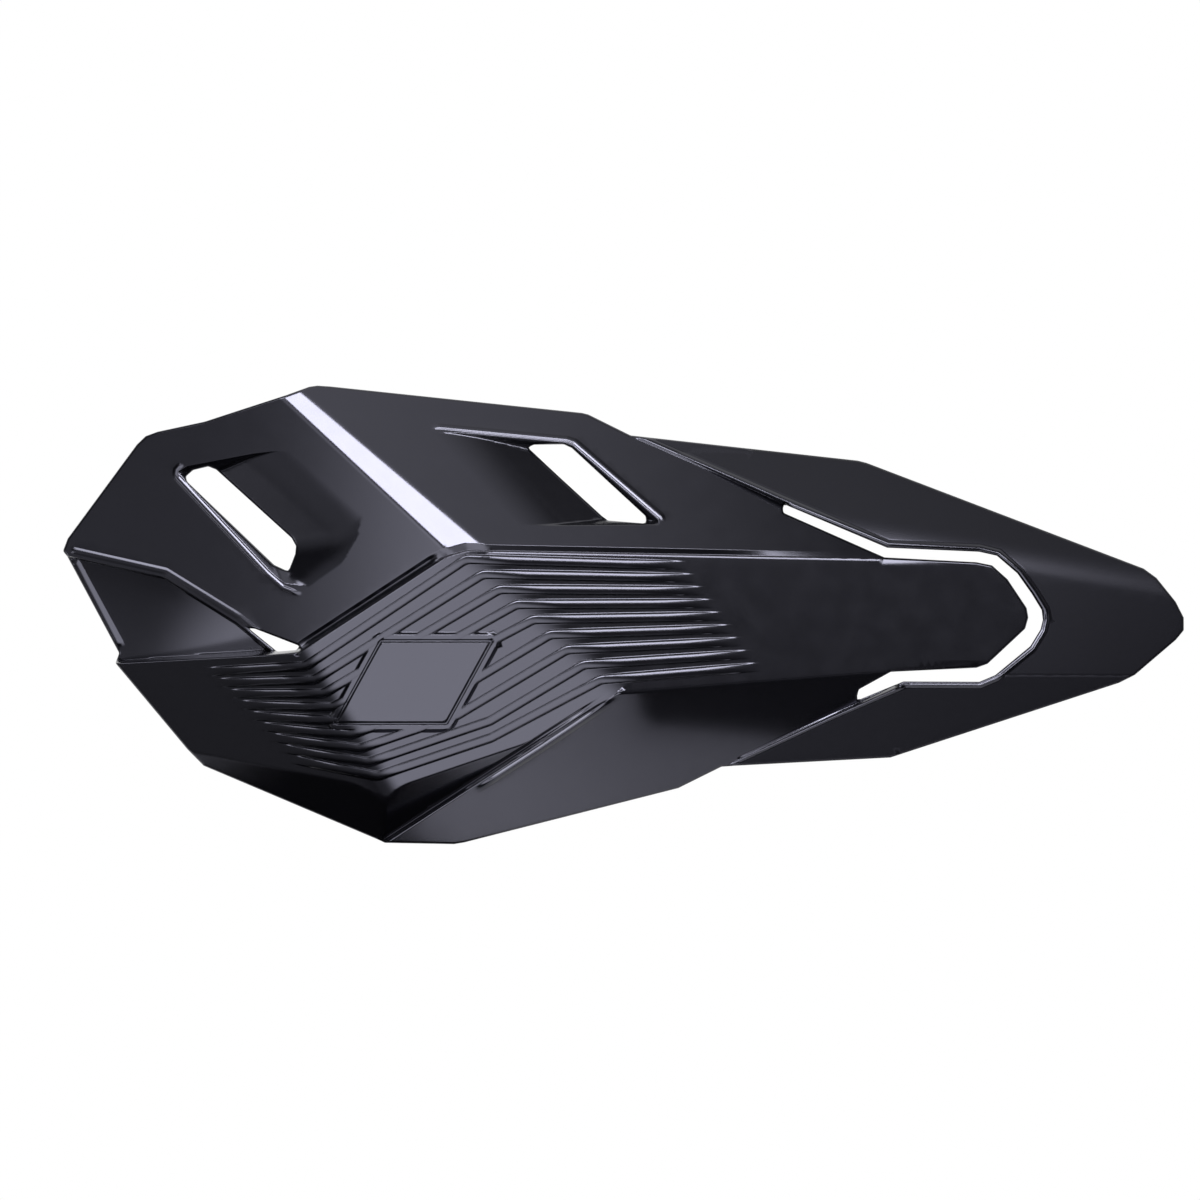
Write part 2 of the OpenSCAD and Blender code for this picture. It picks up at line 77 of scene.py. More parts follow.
# outlines seen from the front, as x and z
rimOutline = [(-92, 22.25), (-90.8, 25.4), (-73.4, 48.9), (-71.2, 51), (-68.2, 52.1), (-56.4, 54.6),
              (-46.2, 57.9), (-35.9, 61.2), (-30.2, 63.3), (-28.2, 63.6), (-25, 63.4), (17.5, 59),
              (38, 56.9), (39.6, 56.5), (50.2, 51.25), (107.35, 45), (109.6, 44.4), (179.1, 17.9),
              (182.3, 15.55), (187.1, 9.55), (189.1, 5.6), (189.1, 2.4), (187.1, 0), (176.7, -8.8),
              (172.7, -10.8), (115.3, -29.5), (76.25, -31.5), (72.9, -31.75), (62.1, -37.1),
              (8.5, -50.6), (6, -51), (-11.25, -50.6), (-56.75, -31.5), (-60.8, -27.4), (-78.9, -5.75),
              (-78, -3.3), (-91, 21)]
wingSlot = [(88.4, 34.1), (114.5, 23.1), (137.6, 22.1), (142.1, 21.1), (147.2, 16.7), (150.8, 11.6),
            (153.3, 7.5), (153.6, 5), (153, 2.6), (150.4, -1.6), (141.6, -8.8), (137.6, -10.5),
            (118.5, -10.4), (106.6, -15.3), (107.3, -12.4), (115.3, -8), (136.9, -7), (139.7, -6),
            (149.2, 2.8), (150, 5.6), (149.6, 8), (144.8, 15.2), (140.9, 18.7), (136.9, 19.5),
            (113.8, 20.7), (88.4, 31.9)]
scoopGap = [(-45.5, 3), (-43.7, 2.8), (-32.5, -1.5), (-33.4, -2.5), (-38.2, -2.9)]
ventLeft = [(-63.5, 42), (-61, 43.6), (-36.25, 48.25), (-11.4, 26.25), (-31.75, 12), (-36.4, 13.8),
            (-40.3, 17.2)]
holeLeft = [(-61.2, 40.9), (-59.3, 42.5), (-55.5, 43.4), (-53.5, 42.6), (-34.6, 25.5), (-33.5, 23.5),
            (-33.7, 21.5), (-35.4, 17.1), (-39, 18.8), (-60.8, 39.6)]
ventRight = [(0, 52.5), (2.4, 52.6), (34.1, 49.6), (35.9, 49), (57.3, 30.5), (57.7, 28.6),
             (22.5, 28.2)]
holeRight = [(24.4, 48.2), (26, 48.9), (33.4, 49), (35.4, 48.1), (53.9, 31), (54.1, 29.1),
             (44.5, 29.9), (43, 31), (32.1, 41)]
padEdge = [(-12, -0.5), (15, -0.5), (4, -20.5), (-23, -20.5)]

zoneUpper = [(-140, 32.6), (-91, 21), (-66.4, 15.5), (-48.5, 4.25), (-39.6, -3), (-28, -14), (10, 5),
             (151.6, 5), (146, 16), (140, 20.8), (114.5, 21.9), (91, 32.2), (91, 43), (64, 55),
             (60, 90), (-140, 90)]
# the same for the outer skin, where the band's own body takes over just under its top edge
zoneUpperFront = [(-140, 32.6), (-91, 21), (-66.4, 15.5), (-48.5, 4.25), (-39.6, -3), (-33, -4.5),
                  (4.2, 19.2), (10, 20.6), (112, 19), (114.5, 21.9), (91, 32.2), (91, 43), (64, 55),
                  (60, 90), (-140, 90)]
zoneBandLeft = [(-110, -7.3), (-79, -5.75), (-39.25, -3.6), (-33, -3.25), (-31, -8), (-31, -90),
                (-110, -90)]
zoneBand = [(-33, -3.25), (3.4, 20.6), (9.3, 22.3), (14, 22.3), (20, 25), (100, 25), (114.5, 21.9),
            (140, 20.8), (146, 16), (151.8, 6), (151, 2.4), (142, -7.5), (137, -8.8), (117, -9.4),
            (122, -22), (68, -46), (60, -90), (-33, -90)]
zoneFlank = [(46.5, -13.25), (27.5, -25.5), (-11.25, -50.6), (-40, -69), (60, -90), (68, -46),
             (122, -22), (117, -9.4), (118, -6), (52, -9)]
zoneScoop = [(-110, 30), (-66.4, 23), (-44, 11), (-30, 2), (-26, -9), (-80, -12), (-110, -12)]
zoneWingTop = [(40, 24), (40, 90), (90.5, 90), (90.5, 32.4)]
zoneWingLow = [(40, -20), (117.2, -9.4), (117.2, -80), (40, -80)]
zoneWing = [(90, 32.6), (90, 90), (220, 90), (220, -80), (117, -80), (117, -9.4), (137, -9.6),
            (142, -7.5), (151, 2.4), (151.8, 6), (146, 16), (140, 21), (114.5, 21.9)]


def through(p, q, r):
    # face through three points: depth = d + a (x - x0) + b (z - z0), a and b solved from the two edges
    u, v = np.subtract(q, p), np.subtract(r, p)
    k = u[0] * v[1] - u[1] * v[0]
    return (p[0], p[1], p[2], (u[2] * v[1] - v[2] * u[1]) / k, (u[0] * v[2] - v[0] * u[2]) / k)


def leaning(p, q, steep):
    # face through an edge: slope g along it, and falling away with the steep slope to its right
    u = np.subtract(q, p)
    length = math.hypot(u[0], u[1])
    g = u[2] / length
    return (p[0], p[1], p[2], (g * u[0] + steep * u[1]) / length, (g * u[1] - steep * u[0]) / length)


creaseMid, creaseLow = (6.75, 22.3, 3.8), (46.5, -13.25, 8)
bendTop, bendLow = (-33, -3.25, 3), (-11, -37.25, 5.85)
chamferFoot = (-11.25, -50.6, 16)
# faces: a point's x and z, the depth there, and the slopes along x and z
shieldFaces = {
    "panelA": (6.75, 23.75, 4.6, -0.2725, -0.006),
    "panelB": (6.75, 23.75, 4.647, 0.3334, 0.668),
    "chamfer": through((-36, 61, 16.5), (3, 23.4, 5.6), (11, 25.6, 7.3)),
    "bandMid": through(creaseMid, creaseLow, bendTop),
    "bandRight": (6.75, 23.75, 4, 0.325, 0.241),
    "bandLeft": through(bendTop, bendLow, (-78.75, -5, 31)),
    "underLeft": through(bendLow, (-60.8, -27.5, 30.8), chamferFoot),
    "underMid": through(bendLow, (17, -28.2, 7.2), chamferFoot),
    "flank": through(creaseLow, (115.25, -8, 31.6), (-11.25, -50.6, 8)),
    "flankWall": leaning((27.5, -25.5, 8), (-11.25, -50.6, 8), 4),
    "bandWall": leaning((3.4, 20.6, 4), (-33, -3.25, 3), 3.2),
    "scoop": (-90.75, 21, 34.5, -0.322, -0.231),
    "wingTop": (55, 49.2, 38.1, 0.334, 0.835),
    "wingTail": (148, 20, 45, 0.237, 0.25),
    "wingLow": (141.75, -8.75, 36.3, 0.234, -0.399),
    "stepTop": leaning((50.2, 51.25, 38.5), (114.5, 23.1, 36.4), 4),
    "stepLow": leaning((120, -10.4, 32), (72.9, -31.75, 29.4), 4),
}

# slow swell of the faces in the shading only: centre x, z and how fast the slopes turn along x and z
faceSwell = {
    "panelA": (-40, 22, 0.0022, 0.0, 0.0, 0.0008),
    "panelB": (15, 45, 0.0016, 0.0, 0.0, 0.0006),
    "scoop": (-79, 8, 0.008, 0.0, 0.0, -0.006),
    "flank": (38, -30, 0.0014, 0.0, 0.0, 0.003),
    "wingTop": (55, 46, 0.0016, 0.0, 0.0, 0.001),
    "wingTail": (55, 46, 0.0016, 0.0, 0.0, 0.001),
    "wingLow": (125, -98, 0.001, 0.0, 0.0, 0.001),
}
# the flank's normals turn up along its top edge: tilt, and where the turn starts and how long it takes
flankTurn = {"tilt": 0.16, "x": 44, "z": -31, "over": 14}
# bodies: zone, how far it shifts behind the whole wall, faces
shieldBodies = [
    (zoneUpper, (0.9, 3), ["panelA", "panelB", "chamfer", "bandRight"]),
    (zoneBandLeft, (1.6, -3), ["bandMid", "bandLeft", "underLeft", "underMid"]),
    (zoneBand, (1.6, -3), ["bandMid", "bandLeft", "bandRight", "panelB", "bandWall",
                           "underLeft", "underMid", "flank"]),
    (zoneFlank, (0.8, -1), ["flank", "bandRight", "flankWall"]),
    (zoneScoop, (0, 0), ["scoop"]),
    (zoneWingTop, (0, 0), ["wingTop", "wingTail", "wingLow", "stepTop"]),
    (zoneWingLow, (0, 0), ["wingTop", "wingTail", "wingLow", "stepLow"]),
    (zoneWing, (0, 0), ["wingTop", "wingTail", "wingLow"]),
]
firstWingBody = 5
deepest = 900.0   # behind every face


def insidePolygon(x, z, poly):
    # a point is inside if a ray to +x crosses the outline an odd number of times
    inside = np.zeros(x.shape, bool)
    n = len(poly)
    for i in range(n):
        x1, z1 = poly[i]
        x2, z2 = poly[(i + 1) % n]
        if z1 == z2:
            continue
        crosses = ((z1 > z) != (z2 > z)) & (x < (x2 - x1) * (z - z1) / (z2 - z1) + x1)
        inside ^= crosses
    return inside


def lineDistance(x, z, line, closed=False):
    # least distance to the pieces of a line, and how far along the line that point lies
    best = np.full(x.shape, 1e9)
    along = np.zeros(x.shape)
    run = 0.0
    for i in range(len(line) if closed else len(line) - 1):
        x1, z1 = line[i]
        x2, z2 = line[(i + 1) % len(line)]
        dx, dz = x2 - x1, z2 - z1
        length = math.hypot(dx, dz)
        t = np.clip(((x - x1) * dx + (z - z1) * dz) / length ** 2, 0, 1)
        d = np.hypot(x - x1 - t * dx, z - z1 - t * dz)
        nearer = d < best
        best = np.where(nearer, d, best)
        along = np.where(nearer, run + t * length, along)
        run += length
    return best, along, run


def signedDistance(x, z, poly):
    # distance to the outline, counted below zero inside it
    d = lineDistance(x, z, poly, True)[0]
    return np.where(insidePolygon(x, z, poly), -d, d)


def faceDepth(name, x, z, inset=0.0):
    # depth = d0 + a (x - x0) + b (z - z0), set back by the inset square to the face
    x0, z0, d0, a, b = shieldFaces[name]
    return d0 + a * (x - x0) + b * (z - z0) + inset * math.sqrt(1 + a * a + b * b)


def softMax(a, b, k):
    # the greater of a and b, raised by h h k / 4 where they are nearer than k, with h = 1 - |a - b| / k
    h = np.clip(1 - np.abs(a - b) / np.maximum(k, 1e-6), 0, None)
    return np.maximum(a, b) + h * h * k / 4


def smooth(t):
    # even curve from 0 to 1: t t (3 - 2 t)
    t = np.clip(t, 0, 1)
    return t * t * (3 - 2 * t)


def wallRise(sd, steep, soft=0.25):
    # 0 inside, steep x distance outside, and steep (sd + soft)^2 / (4 soft) on the shoulder between
    mid = steep * (sd + soft) ** 2 / (4 * soft)
    return np.where(sd < -soft, 0, np.where(sd > soft, steep * sd, mid))


def skinDepth(x, z, inset=0.0):
    # least over the bodies of (greatest over its faces + side walls)
    depth = np.full(x.shape, deepest)
    owner = np.zeros(x.shape, int)
    face = np.zeros(x.shape, int)
    order = list(shieldFaces)
    s = inset / shieldValues["wall"]
    for i, (zone, shift, names) in enumerate(shieldBodies):
        if i == 0 and inset == 0:
            zone = zoneUpperFront
        body = faceDepth(names[0], x, z, inset)
        slopeA = np.full(x.shape, shieldFaces[names[0]][3])
        slopeB = np.full(x.shape, shieldFaces[names[0]][4])
        top = np.full(x.shape, order.index(names[0]))
        for name in names[1:]:
            other = faceDepth(name, x, z, inset)
            a, b = shieldFaces[name][3:]
            width = shieldValues["chamferBlend"] if name == "chamfer" else shieldValues["creaseWidth"]
            if name in ("bandLeft", "bandRight"):
                width = np.where(top == order.index("bandMid"), shieldValues["bendWidth"], width)
            if name == "wingTail":
                width = shieldValues["tailBlend"]
            k = width * np.hypot(a - slopeA, b - slopeB)
            wins = other > body
            body = softMax(body, other, k)
            slopeA, slopeB = np.where(wins, a, slopeA), np.where(wins, b, slopeB)
            top = np.where(wins, order.index(name), top)
        sd = signedDistance(x - shift[0] * s, z - shift[1] * s, zone)
        body = body + wallRise(sd, shieldValues["step"])
        wins = body < depth
        owner = np.where(wins, i, owner)
        face = np.where(wins, top, face)
        depth = np.minimum(depth, body)
    return depth, owner, face


def swell(x, z, face):
    # tilt of the normals by the slow swell of each face, growing evenly from its centre
    order = list(shieldFaces)
    da, db = np.zeros(x.shape), np.zeros(x.shape)
    for name, (xc, zc, ax, az, bx, bz) in faceSwell.items():
        on = face == order.index(name)
        da += on * (ax * (x - xc) + az * (z - zc))
        db += on * (bx * (x - xc) + bz * (z - zc))
    on = face == order.index("flank")
    turn = smooth((x - flankTurn["x"]) / flankTurn["over"])
    db += on * flankTurn["tilt"] * turn * smooth((z - flankTurn["z"]) / flankTurn["over"])
    return da, db


def rampFace(panel, nearA, nearB, away):
    # face that meets the panel at two corners and lies rampFall behind it at the third
    return through((*nearA, float(faceDepth(panel, *nearA))), (*nearB, float(faceDepth(panel, *nearB))),
                   (*away, float(faceDepth(panel, *away)) + shieldValues["rampFall"]))


shieldFaces["rampLeft"] = rampFace("panelA", ventLeft[2], ventLeft[3], ventLeft[0])
shieldFaces["rampRight"] = rampFace("panelB", ventRight[0], ventRight[6], ventRight[3])


def creaseLine(f, g, *points):
    # points moved onto the line where two faces meet
    x1, z1, d1, a1, b1 = shieldFaces[f]
    x2, z2, d2, a2, b2 = shieldFaces[g]
    a, b = a1 - a2, b1 - b2
    c = d1 - d2 - a1 * x1 - b1 * z1 + a2 * x2 + b2 * z2
    out = []
    for x, z in points:
        off = (a * x + b * z + c) / (a * a + b * b)
        out.append((x - a * off, z - b * off))
    return out


# half angle from which a corner counts as straight, and the share of a side that a rounding may take
cornerValues = {"straight": 1.5, "share": 0.45}


def roundCorners(points, radius, closed=True, steps=5):
    # replaces each corner by a curve of about the given radius: (1 - t)^2 a + 2 t (1 - t) p + t^2 b
    points = [np.array(p, float) for p in points]
    out = []
    n = len(points)
    for i, p in enumerate(points):
        if not closed and i in (0, n - 1):
            out.append(p)
            continue
        a, b = points[i - 1] - p, points[(i + 1) % n] - p
        la, lb = np.linalg.norm(a), np.linalg.norm(b)
        a, b = a / la, b / lb
        half = math.acos(float(np.clip(a @ b, -1, 1))) / 2
        if half > cornerValues["straight"]:
            out.append(p)
            continue
        cut = min(radius / math.tan(half), cornerValues["share"] * la, cornerValues["share"] * lb)
        for t in np.linspace(0, 1, steps):
            out.append((1 - t) ** 2 * (p + a * cut) + 2 * t * (1 - t) * p + t * t * (p + b * cut))
    return [tuple(p) for p in out]


def resample(line, step, closed=False):
    # each piece of the line cut into equal lengths of about a step
    pts = np.array(line + ([line[0]] if closed else []), float)
    out = []
    for p, q in zip(pts[:-1], pts[1:]):
        n = max(1, int(np.linalg.norm(q - p) / step + 0.5))
        out += [tuple(p + (q - p) * k / n) for k in range(n)]
    return out if closed else out + [tuple(pts[-1])]


def shifted(line, by, closed=False):
    # the line moved sideways to its left
    pts = np.array(line, float)
    if closed:
        d = np.roll(pts, -1, 0) - np.roll(pts, 1, 0)
    else:
        d = np.gradient(pts, axis=0)
    d /= np.maximum(np.linalg.norm(d, axis=1), 1e-9)[:, None]
    return [tuple(p) for p in pts + by * np.stack([-d[:, 1], d[:, 0]], 1)]


# ribs: each pair is the first rib's value and the step to the next; run is how far a bend leans per mm of z
ribPlan = {"startX": (-56.5, 2.66), "startZ": (-8, -2.7), "leftZ": (-6.5, -3.43), "rightZ": (20.2, -3.76),
           "endX": (64.25, 2.3), "endZ": (18.6, -3.16), "leftRun": 0.647, "rightRun": 1.118, "firstTurn": 5,
           "turns": [(0.6, -16.3), (7, -18.7), (15, -20.2), (15.3, -24.4)]}   # below the pad


def ribLines():
    # each rib runs from its start to the left bend, past its turn if it has one, to the right bend and its end
    lines = []
    for i in range(shieldValues["ribCount"]):
        startX, startZ, leftZ, rightZ, endX, endZ = [
            ribPlan[key][0] + ribPlan[key][1] * i for key in ("startX", "startZ", "leftZ", "rightZ", "endX", "endZ")]
        corners = [(startX, startZ), (bendTop[0] + (bendTop[1] - leftZ) * ribPlan["leftRun"], leftZ)]
        if 0 <= i - ribPlan["firstTurn"] < len(ribPlan["turns"]):
            corners.append(ribPlan["turns"][i - ribPlan["firstTurn"]])
        corners += [(creaseMid[0] + (creaseMid[1] - rightZ) * ribPlan["rightRun"], rightZ), (endX, endZ)]
        lines.append(roundCorners(corners, shieldValues["ribBend"], False, 7))
    return lines


ribCurves = ribLines()
holeEdges = [roundCorners(hole, shieldValues["holeRound"], True, 3)
             for hole in (wingSlot, scoopGap, holeLeft, holeRight)]
rimEdge = roundCorners(rimOutline, shieldValues["rimRound"], True, 3)
# vents: panel, ramp, outline, and the walls round the ramp (line, slope, rounding)
ventValues = [
    ("panelA", "rampLeft", roundCorners(ventLeft, shieldValues["ventRound"], True, 4), [
        ([(-31.75, 12), (-36.4, 13.8), (-40.3, 17.2), (-63.5, 42), (-61, 43.6), (-36.25, 48.25),
          (-30, 49.4)], 1.3, 0.3),
        ([(-38, 7.6), (-31.75, 12), (-11.4, 26.25)], 0.5, 2.0)]),
    ("panelB", "rampRight", roundCorners(ventRight, shieldValues["ventRound"], True, 4), [
        ([(-8, 53), (0, 52.7), (2.4, 52.6), (34.1, 49.6), (35.9, 49), (57.3, 30.5), (57.7, 28.6)], 1.3, 0.3),
        ([(57.7, 28.6), (43, 28.4), (22.5, 28.2), (14, 28.1)], 2.5, 0.35)]),
]
flankEdge = [(46.5, -13.25), (27.5, -25.5), (-11.25, -50.6)]
# grooves along the foot of the band's left wall, and above the flank's top edge, deepest at its foot
wallGroove = {"line": [(-34, -2.4), (2.4, 21.4)], "deep": 0.6, "half": 1.2, "fadeIn": 4, "fadeOut": 3}
flankGroove = {"line": [(45.9, -12.5), (26.9, -24.7), (-11.9, -49.9)], "deep": 1.0, "half": 0.8, "fade": 2.5}
# raised pad among the ribs, the level that the ribs reach round it, and the moat between; distances from its edge
padValues = {"rise": 1.3, "edge": 0.5, "plateau": 0.9, "plateauEnd": 2.6, "plateauEase": 0.9,
             "moat": 0.5, "moatWall": 0.15, "moatEnd": 0.75, "moatEase": 0.3}
# ramps behind the wall: how far beside the vent they reach, their walls, and how they blend into the wall
rearRamp = {"beside": 1.6, "steep": 5, "soft": 0.3, "reach": 6, "blend": 1.6}


def besideOutline(ring, start, end, by):
    # the part of a closed outline from the point nearest to start to the one nearest to end, moved outwards
    ring = shifted(resample(ring, 0.8, True), by, True)
    first, last = [min(range(len(ring)), key=lambda k: math.dist(ring[k], p)) for p in (start, end)]
    if last < first:
        last += len(ring)
    return [ring[k % len(ring)] for k in range(first, last + 1)]


# fine moulded beads: line, half width, rise, length of the fade at each end
rimBeads = [
    ([(-90.0, 20.5), (-77.8, -2.3)], 1.8, 0.5, 2.0, 2.0),
    ([(-90.2, 22.6), (-66.1, 17.2), (-47.7, 5.9), (-39.2, -1.0)], 1.0, 0.28, 1.0, 1.0),
    ([(48.2, -14.2), (43.6, -16.6), (28.35, -26.85), (10.5, -38.3)], 0.95, 0.78, 12, 8),
    (besideOutline(ventValues[0][2], (-31.9, 11.0), (-61.8, 44.2), 0.85), 0.8, 0.32, 3, 2),
    (besideOutline(ventValues[1][2], (-0.9, 53.0), (58.6, 29.5), 0.85), 0.8, 0.2, 2, 2),
    ([(51, 51.6), (88.6, 35.2), (114.8, 24.1), (137.8, 23.1), (142.6, 21.9), (148, 17.2), (151.8, 11.9),
      (154.3, 7.8), (154.9, 5)], 0.9, 0.42, 2, 3),
    ([(154.6, 7.5), (154.7, 5), (154, 2.2), (151.2, -2.4), (142.1, -9.7), (137.8, -11.5),
      (118, -11.4)], 0.55, 0.32, 2, 3),
    ([(119, -11.3), (100, -19.4), (76, -30.6)], 0.7, 0.42, 2, 4),
]
ventBeads = (3, 4)     # their points come with the rows round the vents
wingBeads = (5, 6, 7)  # polished like the shell
# furrow over the ridge along the band's top edge: a steep wall at the ridge, then a flat rise to the panel;
# left of chamferX it takes the second depth and width, over the length chamferEase
furrowValues = {"deep": 0.9, "deepAtChamfer": 0.45, "wall": 0.35, "width": 1.7, "widthAtChamfer": 2.1,
                "chamferX": 16, "chamferEase": 8, "fadeIn": 2.5, "fadeOut": 60.0,
                "above": [(112, 60), (1.5, 60)]}   # closes the ridge line round the side with the panel
ridgeLine = [(1.5, 19.4), (3.2, 20.5)] + creaseLine("panelB", "bandRight", (9.3, 22.3), (112, 20.3))


def furrow(x, z):
    # depth = deep x the wall's curve near the ridge, then falling evenly to nothing at the furrow's width
    d, along, total = lineDistance(x, z, ridgeLine)
    above = insidePolygon(x, z, ridgeLine + furrowValues["above"])
    near = smooth((furrowValues["chamferX"] - x) / furrowValues["chamferEase"])
    w = furrowValues["width"] + (furrowValues["widthAtChamfer"] - furrowValues["width"]) * near
    deep = furrowValues["deep"] + (furrowValues["deepAtChamfer"] - furrowValues["deep"]) * near
    profile = np.minimum(smooth(d / furrowValues["wall"]), np.clip((w - d) / (w - furrowValues["wall"]), 0, 1))
    fade = smooth(along / furrowValues["fadeIn"]) * smooth((total - along) / furrowValues["fadeOut"])
    return np.where(above, deep * profile * fade, 0)


def frontDepth(x, z):
    # depth = skin + falls of the ramps - ribs, pad and beads + grooves and furrow + rounding of the edges
    depth, owner, face = skinDepth(x, z)
    order = list(shieldFaces)
    for panel, ramp, quad, sides in ventValues:
        sd = signedDistance(x, z, quad)
        # fall of the ramp below its panel, eased in, and held by the walls round it
        fall = faceDepth(ramp, x, z) - faceDepth(panel, x, z)
        k = shieldValues["rampEase"]
        fall = np.where(fall < k, np.clip(fall, 0, None) ** 2 / (2 * k), fall - k / 2)
        for line, slope, soft in sides:
            away = np.where(sd < 0, 1, -1) * lineDistance(x, z, line)[0]
            fall = -softMax(-fall, -wallRise(away - soft, slope, soft), 0.5 + soft)
        inside = sd < 0.3   # a little past the outline, where the fall has already run out
        depth = depth + np.where(inside, np.maximum(fall, 0), 0)
        face = np.where(inside & (fall > 1), order.index(ramp), face)
    # ribs: rise x crowned top x steep sides x fade at both ends; round the pad they join to a plateau
    band = (x > -60) & (x < 90) & (z > -38) & (z < 23)
    xb, zb = x[band], z[band]
    padDist = signedDistance(xb, zb, padEdge)
    rise = np.zeros(xb.shape)
    for line in ribCurves:
        d, along, total = lineDistance(xb, zb, line)
        t = np.clip(d / shieldValues["ribHalf"], 0, 1)
        profile = (1 - shieldValues["ribCrown"] * t * t) * smooth((1 - t) / shieldValues["ribSide"])
        fade = smooth(along / shieldValues["ribFadeIn"]) * smooth((total - along) / shieldValues["ribFadeOut"])
        rise = np.maximum(rise, shieldValues["ribRise"] * profile * fade)
    p = padValues
    plateau = shieldValues["ribRise"] * p["plateau"] * smooth((p["plateauEnd"] - padDist) / p["plateauEase"])
    rise = np.maximum(rise, plateau)
    moat = smooth(padDist / p["moatWall"]) * smooth((p["moatEnd"] - padDist) / p["moatEase"])
    rise = rise - p["moat"] * moat
    rise = np.maximum(rise, p["rise"] * smooth(0.5 - padDist / p["edge"]))
    depth = depth.copy()
    depth[band] -= rise
    g = wallGroove
    d, along, total = lineDistance(x, z, g["line"])
    fade = smooth(along / g["fadeIn"]) * smooth((total - along) / g["fadeOut"])
    depth += g["deep"] * smooth(1 - d / g["half"]) * fade
    g = flankGroove
    d, along, total = lineDistance(x, z, g["line"])
    depth += g["deep"] * smooth(1 - d / g["half"]) * smooth(along / total * g["fade"])
    depth += furrow(x, z)
    for line, half, up, fadeIn, fadeOut in rimBeads:
        d, along, total = lineDistance(x, z, line)
        t = np.clip(d / half, 0, 1)
        depth -= up * (1 - t * t) ** 1.5 * smooth(along / fadeIn) * smooth((total - along) / fadeOut)
    # rounded front edges
    r = shieldValues["edgeRound"]
    inner = -signedDistance(x, z, rimEdge)
    for hole in holeEdges:
        inner = np.minimum(inner, signedDistance(x, z, hole))
    inner = np.clip(r - inner, 0, r)
    depth += r - np.sqrt(np.clip(r * r - inner * inner, 0, None))
    return depth, owner, face


def backDepth(x, z):
    # the skin set back by the wall, and near a vent the ramp set back by its own wall where that is deeper
    depth = skinDepth(x, z, shieldValues["wall"])[0]
    for _, ramp, quad, _ in ventValues:
        sd = signedDistance(x, z, quad)
        behind = faceDepth(ramp, x, z, shieldValues["rampWall"])
        behind = behind - wallRise(sd - rearRamp["beside"], rearRamp["steep"], rearRamp["soft"])
        depth = np.where(sd < rearRamp["reach"], softMax(depth, behind, rearRamp["blend"]), depth)
    return depth


# grids: height of a row of even triangles, clearance of the fine points from their outline, least joint
gridValues = {"row": 0.87, "clear": 1.4, "merge": 1e-4, "area": (-93, -52, 190, 65)}


def flatMesh(rings, lines, gridStep, dense=()):
    # triangles over the outline less the holes, with the given lines as edges; finer points in the dense areas
    x0, z0, x1, z1 = gridValues["area"]
    pts, edges = [], []
    for ring in rings:
        start = len(pts)
        pts += ring
        edges += [(start + k, start + (k + 1) % len(ring)) for k in range(len(ring))]
    for line in lines:
        start = len(pts)
        pts += line
        edges += [(start + k, start + k + 1) for k in range(len(line) - 1)]
    cell = gridStep / 1.5
    taken = {(int(p[0] / cell + 1000.5), int(p[1] / cell + 1000.5)) for p in pts}
    row = 0
    z = z0
    while z < z1:
        x = x0 + (gridStep / 2 if row % 2 else 0)
        while x < x1:
            if (int(x / cell + 1000.5), int(z / cell + 1000.5)) not in taken:
                pts.append((x, z))
            x += gridStep
        z += gridStep * gridValues["row"]
        row += 1
    for poly, pitch in dense:
        px, pz = np.meshgrid(np.arange(x0, x1, pitch), np.arange(z0, z1, pitch * gridValues["row"]))
        px[1::2] += pitch / 2
        fine = insidePolygon(px, pz, poly) & (np.abs(signedDistance(px, pz, poly)) >= gridValues["clear"])
        px, pz = px[fine], pz[fine]
        pts += [(float(a), float(b)) for a, b in zip(px, pz)]
    out = delaunay_2d_cdt([Vector(p) for p in pts], edges, [], 0, gridValues["merge"])
    verts = np.array([tuple(v) for v in out[0]])
    tris = np.array(out[2], int)
    c = verts[tris].mean(1)
    keep = insidePolygon(c[:, 0], c[:, 1], rings[0])
    for ring in rings[1:]:
        keep &= ~insidePolygon(c[:, 0], c[:, 1], ring)
    tris = tris[keep]
    used = np.unique(tris)
    index = np.full(len(verts), -1)
    index[used] = np.arange(len(used))
    return verts[used], index[tris]


# rows keep this far inside the material; those farther out than "own" keep this share of their offset
rowValues = {"inside": 0.03, "own": 0.05, "share": 0.93}


def rowsBeside(base, offsets, step, closed=False):
    # lines beside a base line, cut where they leave the material or come too near the base line
    base = resample(base, step, closed)
    rows = []
    for off in offsets:
        row = shifted(base, off, closed)
        p = np.array(row)
        ok = -signedDistance(p[:, 0], p[:, 1], rimEdge) > rowValues["inside"]
        for hole in holeEdges:
            ok &= signedDistance(p[:, 0], p[:, 1], hole) > rowValues["inside"]
        if abs(off) > rowValues["own"]:
            ok &= lineDistance(p[:, 0], p[:, 1], base, closed)[0] > abs(off) * rowValues["share"]
        run = []
        for q, good in zip(row + ([row[0]] if closed else []), list(ok) + ([ok[0]] if closed else [])):
            if good:
                run.append(q)
            else:
                if len(run) > 1:
                    rows.append(run)
                run = []
        if len(run) > 1:
            rows.append(run)
    return rows


